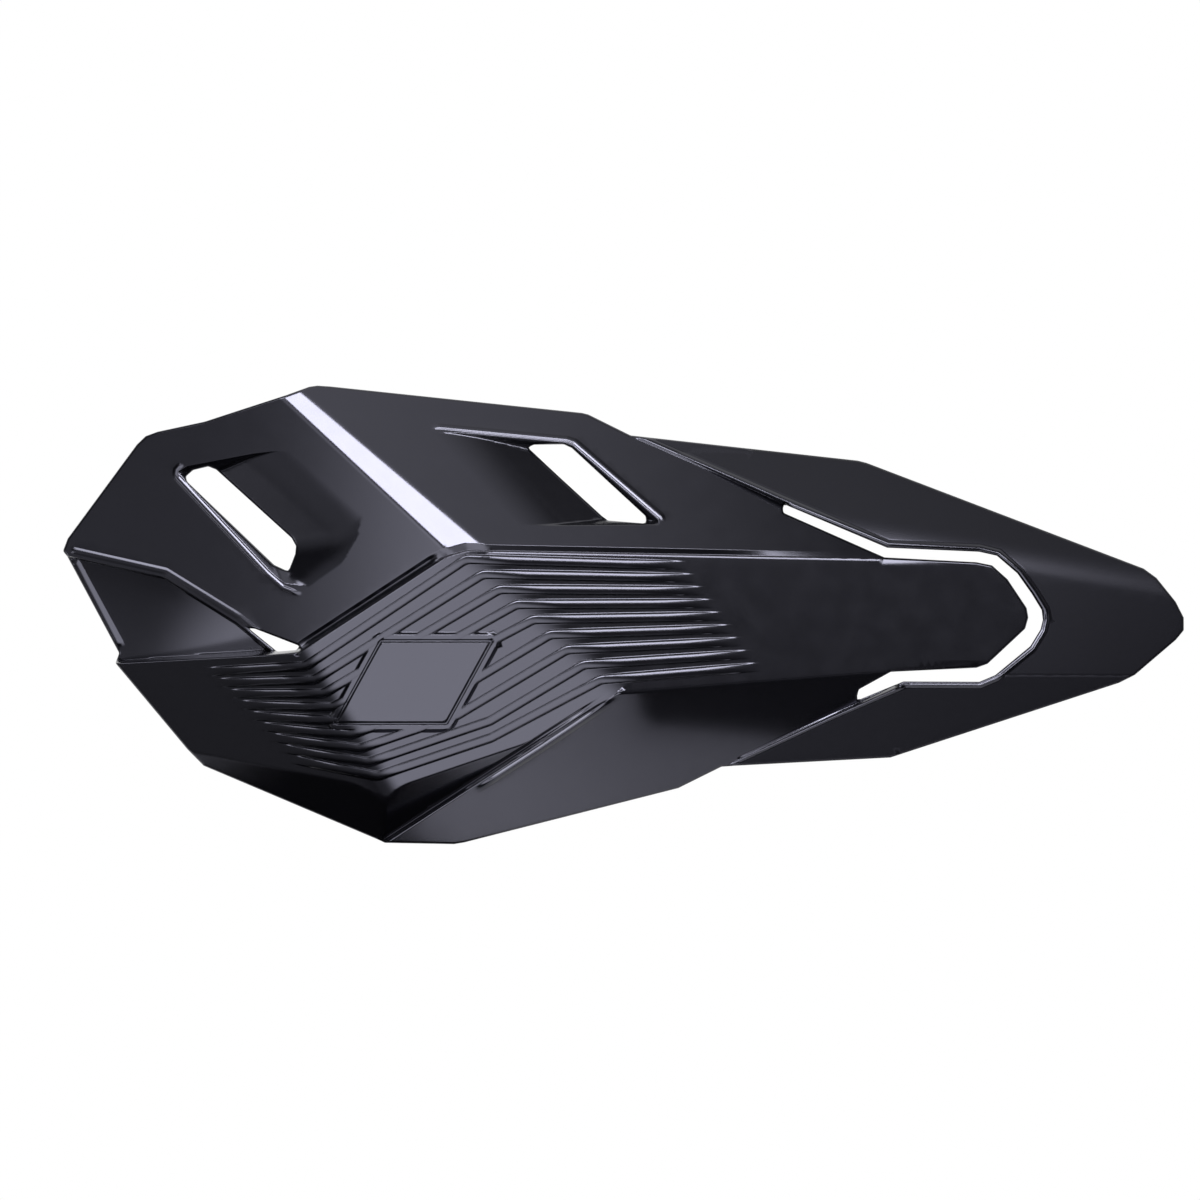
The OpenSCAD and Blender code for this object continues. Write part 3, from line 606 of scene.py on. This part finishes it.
# rows of mesh beside each feature, by their offsets in mm; bead is in half widths
meshRows = {
    "edge": (-0.6, -0.42, -0.28, -0.17, -0.08, 0.08, 0.17, 0.28, 0.42, 0.6),
    "wall": (-0.5, -0.36, -0.24, -0.12, 0, 0.12, 0.24, 0.36, 0.5, 1.0, 1.8),
    "step": (0.7, 1.4, 2.3, -0.7, -1.0, -1.4, -1.8, -2.3),
    "rib": (-1.42, -1.25, -1.16, -1.06, -0.96, -0.86, -0.6, -0.3, 0, 0.3, 0.6, 0.86, 0.96, 1.06, 1.16,
            1.25, 1.42),
    "crease": (-0.55, -0.3, -0.15, 0, 0.15, 0.3, 0.55),
    "softCrease": (-1.5, -1.1, -0.75, -0.4, 0, 0.4, 0.75, 1.1, 1.5),
    "bend": (-3.5, -2.4, -1.2, 0, 1.2, 2.4, 3.5),
    "bead": (-1.0, -0.8, -0.55, -0.3, 0, 0.3, 0.55, 0.8, 1.0),
    "besideBead": (0.2, 0.4, 0.6),
    "ridge": (-0.55, -0.3, -0.12, 0, 0.09, 0.18, 0.27, 0.36, 0.5, 0.9, 1.3, 1.6, 1.7, 1.8, 2.1, 2.5,
              2.9, 3.0, 3.15),
    "wallGroove": [0.2 * k for k in range(-6, 7)],
    "flankGroove": (-0.8, -0.55, -0.3, 0, 0.3, 0.55, 0.8),
    "vent": (-1.6, -1.3, -1.0, -0.8, -0.62, -0.5, -0.38, -0.26, -0.14, -0.02, 0.1, 0.25, 0.4, 0.55, 0.7,
             0.85, 1.0, 1.15, 1.3, 1.45, 1.65),
    "pad": (-0.4, -0.25, -0.1, 0, 0.1, 0.25, 0.4, 0.6, 0.8, 1.6, 1.9, 2.2, 2.5, 2.7),
    # behind the wall the steps lie up to 6 mm beside their front edges
    "backWall": [0.5 * k for k in range(-12, 13)],
    "backCrease": (-1, 0, 1, 2, 3),
    "backVent": [0.4 * k for k in range(2, 15)],
}
# distance of the points that a normal is worked out from, before and behind, and width of the satin's edge
normalValues = {"front": 0.04, "back": 0.1, "satinEdge": 0.5}


def heightNormals(depthAt, x, z, e):
    # slopes of the height field: (depth a little on - depth a little back) / distance, along x and z
    return ((depthAt(x + e, z) - depthAt(x - e, z)) / (2 * e),
            (depthAt(x, z + e) - depthAt(x, z - e)) / (2 * e))


def facing(tri, pts, sign):
    # turns the triangles whose signed area in x, z has the wrong sign
    a, b, c = pts[tri[:, 0]], pts[tri[:, 1]], pts[tri[:, 2]]
    area = (b[:, 0] - a[:, 0]) * (c[:, 1] - a[:, 1]) - (b[:, 1] - a[:, 1]) * (c[:, 0] - a[:, 0])
    flip = area * sign < 0
    tri = tri.copy()
    tri[flip] = tri[flip][:, ::-1]
    return tri


def buildShield():
    # front at frontDepth and rear at backDepth, each a mesh in x and z, joined by quads along rim and holes
    step = shieldValues["rowStep"]
    fine = step * 0.8
    rings = [resample(rimEdge, step, True)] + [resample(h, fine, True) for h in holeEdges]
    walls = [zoneUpperFront[1:5], zoneBandLeft[1:4], zoneBand[0:3], flankEdge,
             [(50.2, 51.25), (88.4, 34.1)], [(118.5, -10.4), (72.9, -31.75)]]
    softCreases = [creaseLine("panelA", "chamfer", (-36, 61), (3, 23.4)),
                   creaseLine("chamfer", "panelB", (-32.75, 61.6), (11, 25.6))]
    creases = [creaseLine("bandMid", "underMid", bendLow[:2], (24, -28)),
               creaseLine("bandLeft", "underLeft", (-60.8, -27.5), bendLow[:2]),
               creaseLine("underLeft", "underMid", bendLow[:2], chamferFoot[:2]),
               creaseLine("flank", "bandRight", creaseLow[:2], (115.25, -8)),
               creaseLine("wingTail", "wingLow", (141, -9), (176.75, -9)),
               creaseLine("wingTop", "wingLow", (118, -11), (141, -9))]
    bends = [creaseLine("bandMid", "bandRight", creaseMid[:2], creaseLow[:2]),
             creaseLine("bandMid", "bandLeft", bendTop[:2], bendLow[:2]),
             creaseLine("wingTop", "wingTail", (148, 20), (182.3, 14.25))]
    lines = []
    for k, ring in enumerate([rimEdge] + holeEdges):
        lines += rowsBeside(ring, meshRows["edge"], step if k == 0 else fine, True)
    for line in ribCurves:
        lines += rowsBeside(line, meshRows["rib"], step * 1.2)
    for line in walls:
        lines += rowsBeside(line, meshRows["wall"], step)
        lines += rowsBeside(line, meshRows["step"], step)
    for line in creases:
        lines += rowsBeside(line, meshRows["crease"], step * 1.3)
    for line in softCreases:
        lines += rowsBeside(line, meshRows["softCrease"], step * 1.3)
    for line in bends:
        lines += rowsBeside(line, meshRows["bend"], step)
    for k, (line, half, *_) in enumerate(rimBeads):
        if k not in ventBeads:
            lines += rowsBeside(line, [v * half for v in meshRows["bead"]], step)
        if k in wingBeads:
            beside = [side * (half + off) for side in (-1, 1) for off in meshRows["besideBead"]]
            lines += rowsBeside(line, beside, step)
    lines += rowsBeside(ridgeLine, meshRows["ridge"], step)
    lines += rowsBeside(wallGroove["line"], meshRows["wallGroove"], step)
    lines += rowsBeside(flankGroove["line"], meshRows["flankGroove"], step)
    for _, _, quad, _ in ventValues:
        lines += rowsBeside(quad, meshRows["vent"], fine, True)
    lines += rowsBeside(padEdge, meshRows["pad"], fine, True)
    print("shield rows", len(lines), "points", sum(len(v) for v in lines))
    xz, tris = flatMesh(rings, lines, shieldValues["grid"], [(v[2], 0.8) for v in ventValues])
    backLines = []
    for line in walls:
        backLines += rowsBeside(line, meshRows["backWall"], 1.6)
    for line in creases + softCreases:
        backLines += rowsBeside(line, meshRows["backCrease"], 2.0)
    for _, _, quad, _ in ventValues:
        backLines += rowsBeside(quad, meshRows["backVent"], 1.2, True)
    bxz, btris = flatMesh(rings, backLines, shieldValues["backGrid"])
    x, z = xz[:, 0], xz[:, 1]
    depth, owner, face = frontDepth(x, z)
    gx, gz = heightNormals(lambda u, v: frontDepth(u, v)[0], x, z, normalValues["front"])
    da, db = swell(x, z, face)
    normal = np.stack([gx + da, -np.ones_like(gx), gz + db], 1)
    normal /= np.linalg.norm(normal, axis=1)[:, None]
    back = backDepth(bxz[:, 0], bxz[:, 1])
    bx, bz = heightNormals(backDepth, bxz[:, 0], bxz[:, 1], normalValues["back"])
    bnormal = np.stack([-bx, np.ones_like(bx), -bz], 1)
    bnormal /= np.linalg.norm(bnormal, axis=1)[:, None]
    front = np.stack([x, shieldValues["frontY"] + depth, z], 1)
    rear = np.stack([bxz[:, 0], shieldValues["frontY"] + back, bxz[:, 1]], 1)
    # every ring vertex is in both meshes: the cut edge joins them
    frontAt = {(round(p[0], 3), round(p[1], 3)): k for k, p in enumerate(xz)}
    rearAt = {(round(p[0], 3), round(p[1], 3)): k + len(front) for k, p in enumerate(bxz)}
    quads = []
    for k, ring in enumerate(rings):
        keys = [(round(p[0], 3), round(p[1], 3)) for p in ring]
        keys = [q for q in keys if q in frontAt and q in rearAt]
        area = sum(a[0] * b[1] - b[0] * a[1] for a, b in zip(keys, keys[1:] + keys[:1]))
        if (area > 0) != (k == 0):
            keys = keys[::-1]
        for a, b in zip(keys, keys[1:] + keys[:1]):
            quads.append((frontAt[b], frontAt[a], rearAt[a], rearAt[b]))
    verts = np.vstack([front, rear]) * mm
    tris = facing(tris, xz, 1)
    btris = facing(btris, bxz, -1) + len(front)
    mesh = bpy.data.meshes.new("shieldMoulding")
    mesh.from_pydata(verts.tolist(), [], tris.tolist() + btris.tolist() + quads)
    mesh.update()
    satin = (owner >= firstWingBody).astype(float)
    for k in wingBeads:
        satin *= smooth((lineDistance(x, z, rimBeads[k][0])[0] - rimBeads[k][1]) / normalValues["satinEdge"])
    satin = np.concatenate([satin, np.zeros(len(rear))])
    attr = mesh.attributes.new("satin", "FLOAT", "POINT")
    attr.data.foreach_set("value", satin.astype(np.float32))
    # smooth shading from the height field itself, flat on the cut edge
    loops = np.zeros(len(mesh.loops), np.int32)
    mesh.loops.foreach_get("vertex_index", loops)
    allNormals = np.vstack([normal, bnormal])[loops]
    p = verts[np.array(quads)]
    n = np.cross(p[:, 1] - p[:, 0], p[:, 2] - p[:, 1])
    n /= np.maximum(np.linalg.norm(n, axis=1), 1e-12)[:, None]
    allNormals[len(loops) - 4 * len(quads):] = np.repeat(n, 4, 0)
    mesh.normals_split_custom_set(allNormals.tolist())
    shield = bpy.data.objects.new("shieldMoulding", mesh)
    bpy.context.scene.collection.objects.link(shield)
    print("shield triangles", len(tris), len(btris), "edge quads", len(quads), "rings", [len(r) for r in rings])
    return shield


# bosses and webs moulded on behind the band, in mm; seat, bottom and webSeat are depths
bossValues = {"at": [(-16, -6), (15, -13), (3, 12)], "radius": 6.2, "bore": 4.02, "seat": 19.0, "bottom": 10.0,
              "into": 1.6, "edge": 0.4, "web": 2.2, "webSeat": 16.0, "webInto": 1.0, "sides": 64, "sharp": 35}


def buildBosses():
    # each boss is five rings about its axis, x0 + r cos t and z0 + r sin t, closed by its root and the bore's end
    verts, faces = [], []
    turn = np.linspace(0, 2 * math.pi, bossValues["sides"], endpoint=False)
    n = len(turn)
    for x0, z0 in bossValues["at"]:
        start = len(verts)
        outer, bore, edge, seat = (bossValues[key] for key in ("radius", "bore", "edge", "seat"))
        for radius, depth in ((outer, None), (outer, seat - edge), (outer - edge, seat), (bore, seat),
                              (bore, bossValues["bottom"])):
            x, z = x0 + radius * np.cos(turn), z0 + radius * np.sin(turn)
            # the first ring follows the band inside the wall
            y = skinDepth(x, z, bossValues["into"])[0] if depth is None else np.full(n, depth)
            verts += list(zip(x.tolist(), (shieldValues["frontY"] + y).tolist(), z.tolist()))
        for ring in range(4):
            a, b = start + ring * n, start + (ring + 1) * n
            faces += [(a + k, b + k, b + (k + 1) % n, a + (k + 1) % n) for k in range(n)]
        faces.append(tuple(range(start, start + n)))
        faces.append(tuple(range(start + 5 * n - 1, start + 4 * n - 1, -1)))
    for k, (x0, z0) in enumerate(bossValues["at"]):
        x1, z1 = bossValues["at"][(k + 1) % 3]
        long = math.hypot(x1 - x0, z1 - z0)
        ux, uz = (x1 - x0) / long, (z1 - z0) / long
        # from the wall of one boss to the wall of the next, and a little into each
        inner = bossValues["radius"] - bossValues["webInto"]
        s = len(verts)
        for along in (inner, long - inner):
            for side in (-bossValues["web"] / 2, bossValues["web"] / 2):
                x, z = x0 + ux * along - uz * side, z0 + uz * along + ux * side
                near = float(skinDepth(np.array([x]), np.array([z]), bossValues["into"])[0][0])
                verts += [(x, shieldValues["frontY"] + y, z) for y in (near, bossValues["webSeat"])]
        faces += [(s, s + 1, s + 3, s + 2), (s + 4, s + 6, s + 7, s + 5), (s, s + 4, s + 5, s + 1),
                  (s + 2, s + 3, s + 7, s + 6), (s + 1, s + 5, s + 7, s + 3), (s, s + 2, s + 6, s + 4)]
    mesh = bpy.data.meshes.new("rearBosses")
    mesh.from_pydata([tuple(v * mm for v in p) for p in verts], [], faces)
    solid = bmesh.new()
    solid.from_mesh(mesh)
    bmesh.ops.recalc_face_normals(solid, faces=solid.faces)
    solid.to_mesh(mesh)
    solid.free()
    mesh.polygons.foreach_set("use_smooth", [True] * len(mesh.polygons))
    mesh.set_sharp_from_angle(angle=math.radians(bossValues["sharp"]))
    bosses = bpy.data.objects.new("rearBosses", mesh)
    bpy.context.scene.collection.objects.link(bosses)
    print("bosses and webs", len(mesh.polygons))
    return bosses


def srgb(hexCode):
    # sRGB hex to linear: v / 12.92 below the knee, ((v + 0.055) / 1.055)^2.4 above it
    c = [int(hexCode[k:k + 2], 16) / 255 for k in (1, 3, 5)]
    return tuple(v / 12.92 if v <= 0.04045 else ((v + 0.055) / 1.055) ** 2.4 for v in c) + (1.0,)


def node(tree, kind, settings=None, **links):
    # adds a node; a link is a socket or a constant, and i with a number means the socket at that place
    # (a Mix node has its factor at 0, its numbers at 2 and 3 and its colours at 6 and 7)
    n = tree.nodes.new(kind)
    for k, v in (settings or {}).items():
        setattr(n, k, v)
    for k, v in links.items():
        key = int(k[1:]) if k[0] == "i" and k[1:].isdigit() else k.replace("_", " ")
        if isinstance(v, bpy.types.NodeSocket):
            tree.links.new(v, n.inputs[key])
        else:
            n.inputs[key].default_value = v
    return n


def newMaterial(name):
    m = bpy.data.materials.new(name)
    m.use_nodes = True
    m.node_tree.nodes.clear()
    out = m.node_tree.nodes.new("ShaderNodeOutputMaterial")
    return m, m.node_tree, out


# injection-moulded polypropylene: a polished tool gives the shell clear reflections, a spark-eroded one gives
# the wing a soft sheen; the grain is coarser than the real one, which is finer than a pixel
plasticValues = {"colour": "#07070a", "colourLow": "#050507", "tint": (0.80, 0.80, 1.0, 1.0), "ior": 1.49,
                 "gloss": 0.15, "glossWorn": 0.2, "satin": 0.34, "shine": 0.5, "satinShine": 0.23,
                 "flowMm": 30.0, "wearMm": 6.0, "grainMm": 0.35, "grainBump": 0.01, "satinBump": 0.12,
                 "grainHeight": 0.0001, "flowBump": 0.03, "flowHeight": 0.0006}
mixNumbers, mixColours = {"data_type": "FLOAT"}, {"data_type": "RGBA"}


def shellMaterial():
    m, t, out = newMaterial("injection-moulded polypropylene")
    v = plasticValues
    pos = node(t, "ShaderNodeTexCoord").outputs["Object"]
    flow, fine, grain = [
        node(t, "ShaderNodeTexNoise", None, Vector=pos, Scale=1000 / size, Detail=detail).outputs["Fac"]
        for size, detail in ((v["flowMm"], 3.0), (v["wearMm"], 4.0), (v["grainMm"], 2.0))]
    satin = node(t, "ShaderNodeAttribute", {"attribute_name": "satin"}).outputs["Fac"]
    shine = node(t, "ShaderNodeMix", mixNumbers, i0=satin, i2=v["shine"], i3=v["satinShine"]).outputs[0]
    colour = node(t, "ShaderNodeMix", mixColours, i0=flow, i6=srgb(v["colour"]),
                  i7=srgb(v["colourLow"])).outputs[2]
    gloss = node(t, "ShaderNodeMix", mixNumbers, i0=fine, i2=v["gloss"], i3=v["glossWorn"]).outputs[0]
    rough = node(t, "ShaderNodeMix", mixNumbers, i0=satin, i2=gloss, i3=v["satin"]).outputs[0]
    strength = node(t, "ShaderNodeMix", mixNumbers, i0=satin, i2=v["grainBump"], i3=v["satinBump"]).outputs[0]
    bump = node(t, "ShaderNodeBump", None, Strength=strength, Distance=v["grainHeight"], Height=grain)
    waves = node(t, "ShaderNodeBump", None, Strength=v["flowBump"], Distance=v["flowHeight"], Height=flow,
                 Normal=bump.outputs["Normal"])
    shader = node(t, "ShaderNodeBsdfPrincipled", None, Base_Color=colour, Roughness=rough,
                  Normal=waves.outputs["Normal"], Specular_IOR_Level=shine)
    shader.inputs["IOR"].default_value = v["ior"]
    shader.inputs["Specular Tint"].default_value = v["tint"]
    t.links.new(shader.outputs[0], out.inputs[0])
    return m


# the other pieces: dark share of the broad stains, their size in grains, and how much rougher the grain is
finishValues = {"dark": 0.75, "stain": 12, "rougher": 0.15, "height": 0.0002}


def plainMaterial(name, colour, rough, scaleMm, metallic=1.0, bumpAmount=0.05):
    m, t, out = newMaterial(name)
    pos = node(t, "ShaderNodeTexCoord").outputs["Object"]
    grain = node(t, "ShaderNodeTexNoise", None, Vector=pos, Scale=1000 / scaleMm, Detail=4.0).outputs["Fac"]
    stainMm = scaleMm * finishValues["stain"]
    broad = node(t, "ShaderNodeTexNoise", None, Vector=pos, Scale=1000 / stainMm, Detail=2.0).outputs["Fac"]
    base = srgb(colour)
    dark = tuple(v * finishValues["dark"] for v in base[:3]) + (1.0,)
    col = node(t, "ShaderNodeMix", mixColours, i0=broad, i6=base, i7=dark).outputs[2]
    rgh = node(t, "ShaderNodeMix", mixNumbers, i0=grain, i2=rough,
               i3=rough + finishValues["rougher"]).outputs[0]
    bump = node(t, "ShaderNodeBump", None, Strength=bumpAmount, Distance=finishValues["height"], Height=grain)
    shader = node(t, "ShaderNodeBsdfPrincipled", None, Base_Color=col, Roughness=rgh,
                  Normal=bump.outputs["Normal"])
    shader.inputs["Metallic"].default_value = metallic
    t.links.new(shader.outputs[0], out.inputs[0])
    return m


# name, colour, roughness, size of the grain in mm, metallic, strength of the grain
slotMaterials = {
    "shell_plastic": shellMaterial(),
    # turned, warm and fairly bright
    "brass": plainMaterial("brass", "#c8a560", 0.3, 0.6),
    # moulded, matt and almost black
    "pad_rubber": plainMaterial("rubber", "#161616", 0.75, 0.5, 0.0, 0.3),
    # moulded with glass fibre, which leaves a dull grey-black skin
    "arm_nylon": plainMaterial("glass-filled nylon", "#1b1b1d", 0.5, 0.4, 0.0, 0.2),
    # barrel-plated, cool and brighter than the castings
    "steel": plainMaterial("zinc-plated steel", "#b9bcc0", 0.28, 0.5),
    # sand-blasted after casting, a soft grey sheen
    "cast_aluminium": plainMaterial("cast aluminium", "#a9abae", 0.42, 0.7, 1.0, 0.2),
    # moulded, a shade smoother than the arm
    "sleeve_nylon": plainMaterial("nylon", "#18181a", 0.45, 0.5, 0.0, 0.1),
}
print("materials made")

shield = buildShield()
bosses = buildBosses()
for piece in (shield, bosses):
    piece.data.materials.append(slotMaterials["shell_plastic"])
    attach(piece, "root")
    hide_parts("guard_shell")

# small broken edges on the CAD pieces: width in m, and the least angle in degrees that gets one
bevelValues = {"width": 0.00035, "segments": 2, "angle": 40}
slots = {s["node"]: s["material_slot"] for s in frame["record"]["subparts"]}
for name, o in frame["nodes"].items():
    o.data.materials.clear()
    o.data.materials.append(slotMaterials[slots[name]])
    if name != "guard_shell":
        bevel = o.modifiers.new("edges", "BEVEL")
        bevel.width = bevelValues["width"]
        bevel.segments = bevelValues["segments"]
        bevel.limit_method = "ANGLE"
        bevel.angle_limit = math.radians(bevelValues["angle"])
        bevel.harden_normals = False
print("materials set")

# table top below the object, in m
floorValues = {"x": (-0.6, 0.6), "y": (-0.48, 1.2), "z": -0.6, "colour": "#eeeeef", "stain": 0.97,
               "noise": 40.0, "rough": 0.7}
# black card under the left half: the camera and the diffuse light don't meet it, only the reflections do,
# and it keeps the lower facets dark
cardValues = {"x": (-0.2, 0.072), "y": (-0.3, 0.05), "z": -0.2, "colours": ("#060606", "#0c0c0c"), "noise": 900.0}


def flatSheet(name, values):
    # level rectangle at the given height
    (x0, x1), (y0, y1), z = values["x"], values["y"], values["z"]
    mesh = bpy.data.meshes.new(name)
    mesh.from_pydata([(x0, y0, z), (x1, y0, z), (x1, y1, z), (x0, y1, z)], [], [(0, 1, 2, 3)])
    o = bpy.data.objects.new(name, mesh)
    bpy.context.scene.collection.objects.link(o)
    return o


def makeFloor():
    o = flatSheet("floor", floorValues)
    m, t, out = newMaterial("pale painted table top")
    pos = node(t, "ShaderNodeTexCoord").outputs["Object"]
    grain = node(t, "ShaderNodeTexNoise", None, Vector=pos, Scale=floorValues["noise"], Detail=3.0).outputs["Fac"]
    pale = srgb(floorValues["colour"])
    stained = tuple(v * floorValues["stain"] for v in pale[:3]) + (1.0,)
    col = node(t, "ShaderNodeMix", mixColours, i0=grain, i6=pale, i7=stained).outputs[2]
    shader = node(t, "ShaderNodeBsdfPrincipled", None, Base_Color=col, Roughness=floorValues["rough"])
    t.links.new(shader.outputs[0], out.inputs[0])
    o.data.materials.append(m)


def makeCard():
    o = flatSheet("blackCard", cardValues)
    o.visible_camera = False
    o.visible_shadow = False
    o.visible_diffuse = False
    m, t, out = newMaterial("black felt card")
    pos = node(t, "ShaderNodeTexCoord").outputs["Object"]
    fibre = node(t, "ShaderNodeTexNoise", None, Vector=pos, Scale=cardValues["noise"], Detail=2.0).outputs["Fac"]
    low, high = (srgb(c) for c in cardValues["colours"])
    col = node(t, "ShaderNodeMix", mixColours, i0=fibre, i6=low, i7=high).outputs[2]
    shader = node(t, "ShaderNodeBsdfDiffuse", None, Color=col)
    t.links.new(shader.outputs[0], out.inputs[0])
    o.data.materials.append(m)


# soft glows of the studio: direction, angle of the full glow, angle at which it ends, brightness
softGlows = [
    ((0.05, -0.99, -0.08), 15, 35, 4.8),
    ((0.05, -0.3, 0.95), 12, 36, 1.6),
    ((-0.5, -0.866, 0.0), 6, 34, 0.45),
    ((-0.8, -0.5, -0.35), 10, 35, 0.3),
    ((-0.36, -0.7, 0.62), 8, 19, 12.0),
]
# what reflections meet: dim in front of the object and white behind it, changing over backFrom to backTo, the
# y of the direction; diffuse light meets one even level, and the camera meets plain white
worldValues = {"dim": 0.034, "backFrom": 0.06, "backTo": 0.3, "diffuse": 0.5}


def makeWorld():
    world = bpy.data.worlds.new("studio")
    bpy.context.scene.world = world
    world.use_nodes = True
    t = world.node_tree
    t.nodes.clear()
    out = t.nodes.new("ShaderNodeOutputWorld")
    path = node(t, "ShaderNodeLightPath")
    way = node(t, "ShaderNodeTexCoord").outputs["Generated"]
    y = node(t, "ShaderNodeSeparateXYZ", None, Vector=way).outputs["Y"]
    level = node(t, "ShaderNodeMapRange", None, Value=y, i1=worldValues["backFrom"], i2=worldValues["backTo"],
                 i3=worldValues["dim"], i4=1.0).outputs[0]
    for direction, full, end, strength in softGlows:
        dot = node(t, "ShaderNodeVectorMath", {"operation": "DOT_PRODUCT"}, i0=way,
                   i1=tuple(Vector(direction).normalized())).outputs["Value"]
        glow = node(t, "ShaderNodeMapRange", {"interpolation_type": "SMOOTHSTEP"}, Value=dot,
                    i1=math.cos(math.radians(end)), i2=math.cos(math.radians(full)), i3=0.0,
                    i4=strength).outputs[0]
        level = node(t, "ShaderNodeMath", {"operation": "ADD"}, i0=level, i1=glow).outputs[0]
    shown = node(t, "ShaderNodeMath", {"operation": "MAXIMUM"}, i0=path.outputs["Is Camera Ray"],
                 i1=path.outputs["Is Transmission Ray"]).outputs[0]
    unlit = node(t, "ShaderNodeMix", mixNumbers, i0=path.outputs["Is Glossy Ray"], i2=worldValues["diffuse"],
                 i3=level).outputs[0]
    strength = node(t, "ShaderNodeMix", mixNumbers, i0=shown, i2=unlit, i3=1.0).outputs[0]
    bg = node(t, "ShaderNodeBackground", None, Color=(1, 1, 1, 1), Strength=strength)
    t.links.new(bg.outputs[0], out.inputs[0])


softBoxes = [
    # name, direction from the aim, distance, width, height, brightness
    ("keyBox", (0.16, -0.72, 0.68), 1.8, 0.8, 0.42, 32.0),
    ("ribBox", (0.54, -0.55, 0.65), 1.6, 0.5, 0.44, 20.0),
    ("leftBox", (-0.88, -0.39, -0.28), 1.6, 0.3, 0.4, 7.0),
]
softBoxAim = (0.02, -0.08, 0.01)
# lamp just over the table top, facing down, which brightens the patch that the lower flank mirrors
tableBox = {"place": (0.31, -0.31, -0.48), "width": 0.14, "height": 0.2, "brightness": 5.0}


def makeLamp(name, place, w, h, radiance):
    # a Lambertian panel sends out pi x radiance x area
    lamp = bpy.data.lights.new(name, "AREA")
    lamp.shape = "RECTANGLE"
    lamp.size, lamp.size_y = w, h
    lamp.energy = radiance * math.pi * w * h
    o = bpy.data.objects.new(name, lamp)
    o.location = place
    bpy.context.scene.collection.objects.link(o)
    return o


def makeLamps():
    makeLamp("tableBox", tableBox["place"], tableBox["width"], tableBox["height"], tableBox["brightness"])
    for name, direction, distance, w, h, radiance in softBoxes:
        d = Vector(direction).normalized()
        o = makeLamp(name, Vector(softBoxAim) + d * distance, w, h, radiance)
        o.rotation_euler = d.to_track_quat("Z", "Y").to_euler()


# long lens square to the front; pictureWidth of the object's plane fills the picture
cameraValues = {"distance": 7.0, "pictureWidth": 0.3, "sensor": 36, "x": 0.0425, "y": -0.07, "z": 0.010,
                "clip": (0.1, 60)}


def makeCamera():
    # focal length = sensor x distance / width of the picture at the object
    v = cameraValues
    cam = bpy.data.cameras.new("camera")
    cam.sensor_width = v["sensor"]
    cam.lens = v["sensor"] * v["distance"] / v["pictureWidth"]
    cam.clip_start, cam.clip_end = v["clip"]
    o = bpy.data.objects.new("camera", cam)
    o.location = (v["x"], v["y"] - v["distance"], v["z"])
    o.rotation_euler = (math.radians(90), 0, 0)
    bpy.context.scene.collection.objects.link(o)
    bpy.context.scene.camera = o


makeFloor()
makeCard()
makeWorld()
makeLamps()
makeCamera()
scene = bpy.context.scene
scene.view_settings.view_transform = "Standard"
print("stage set")
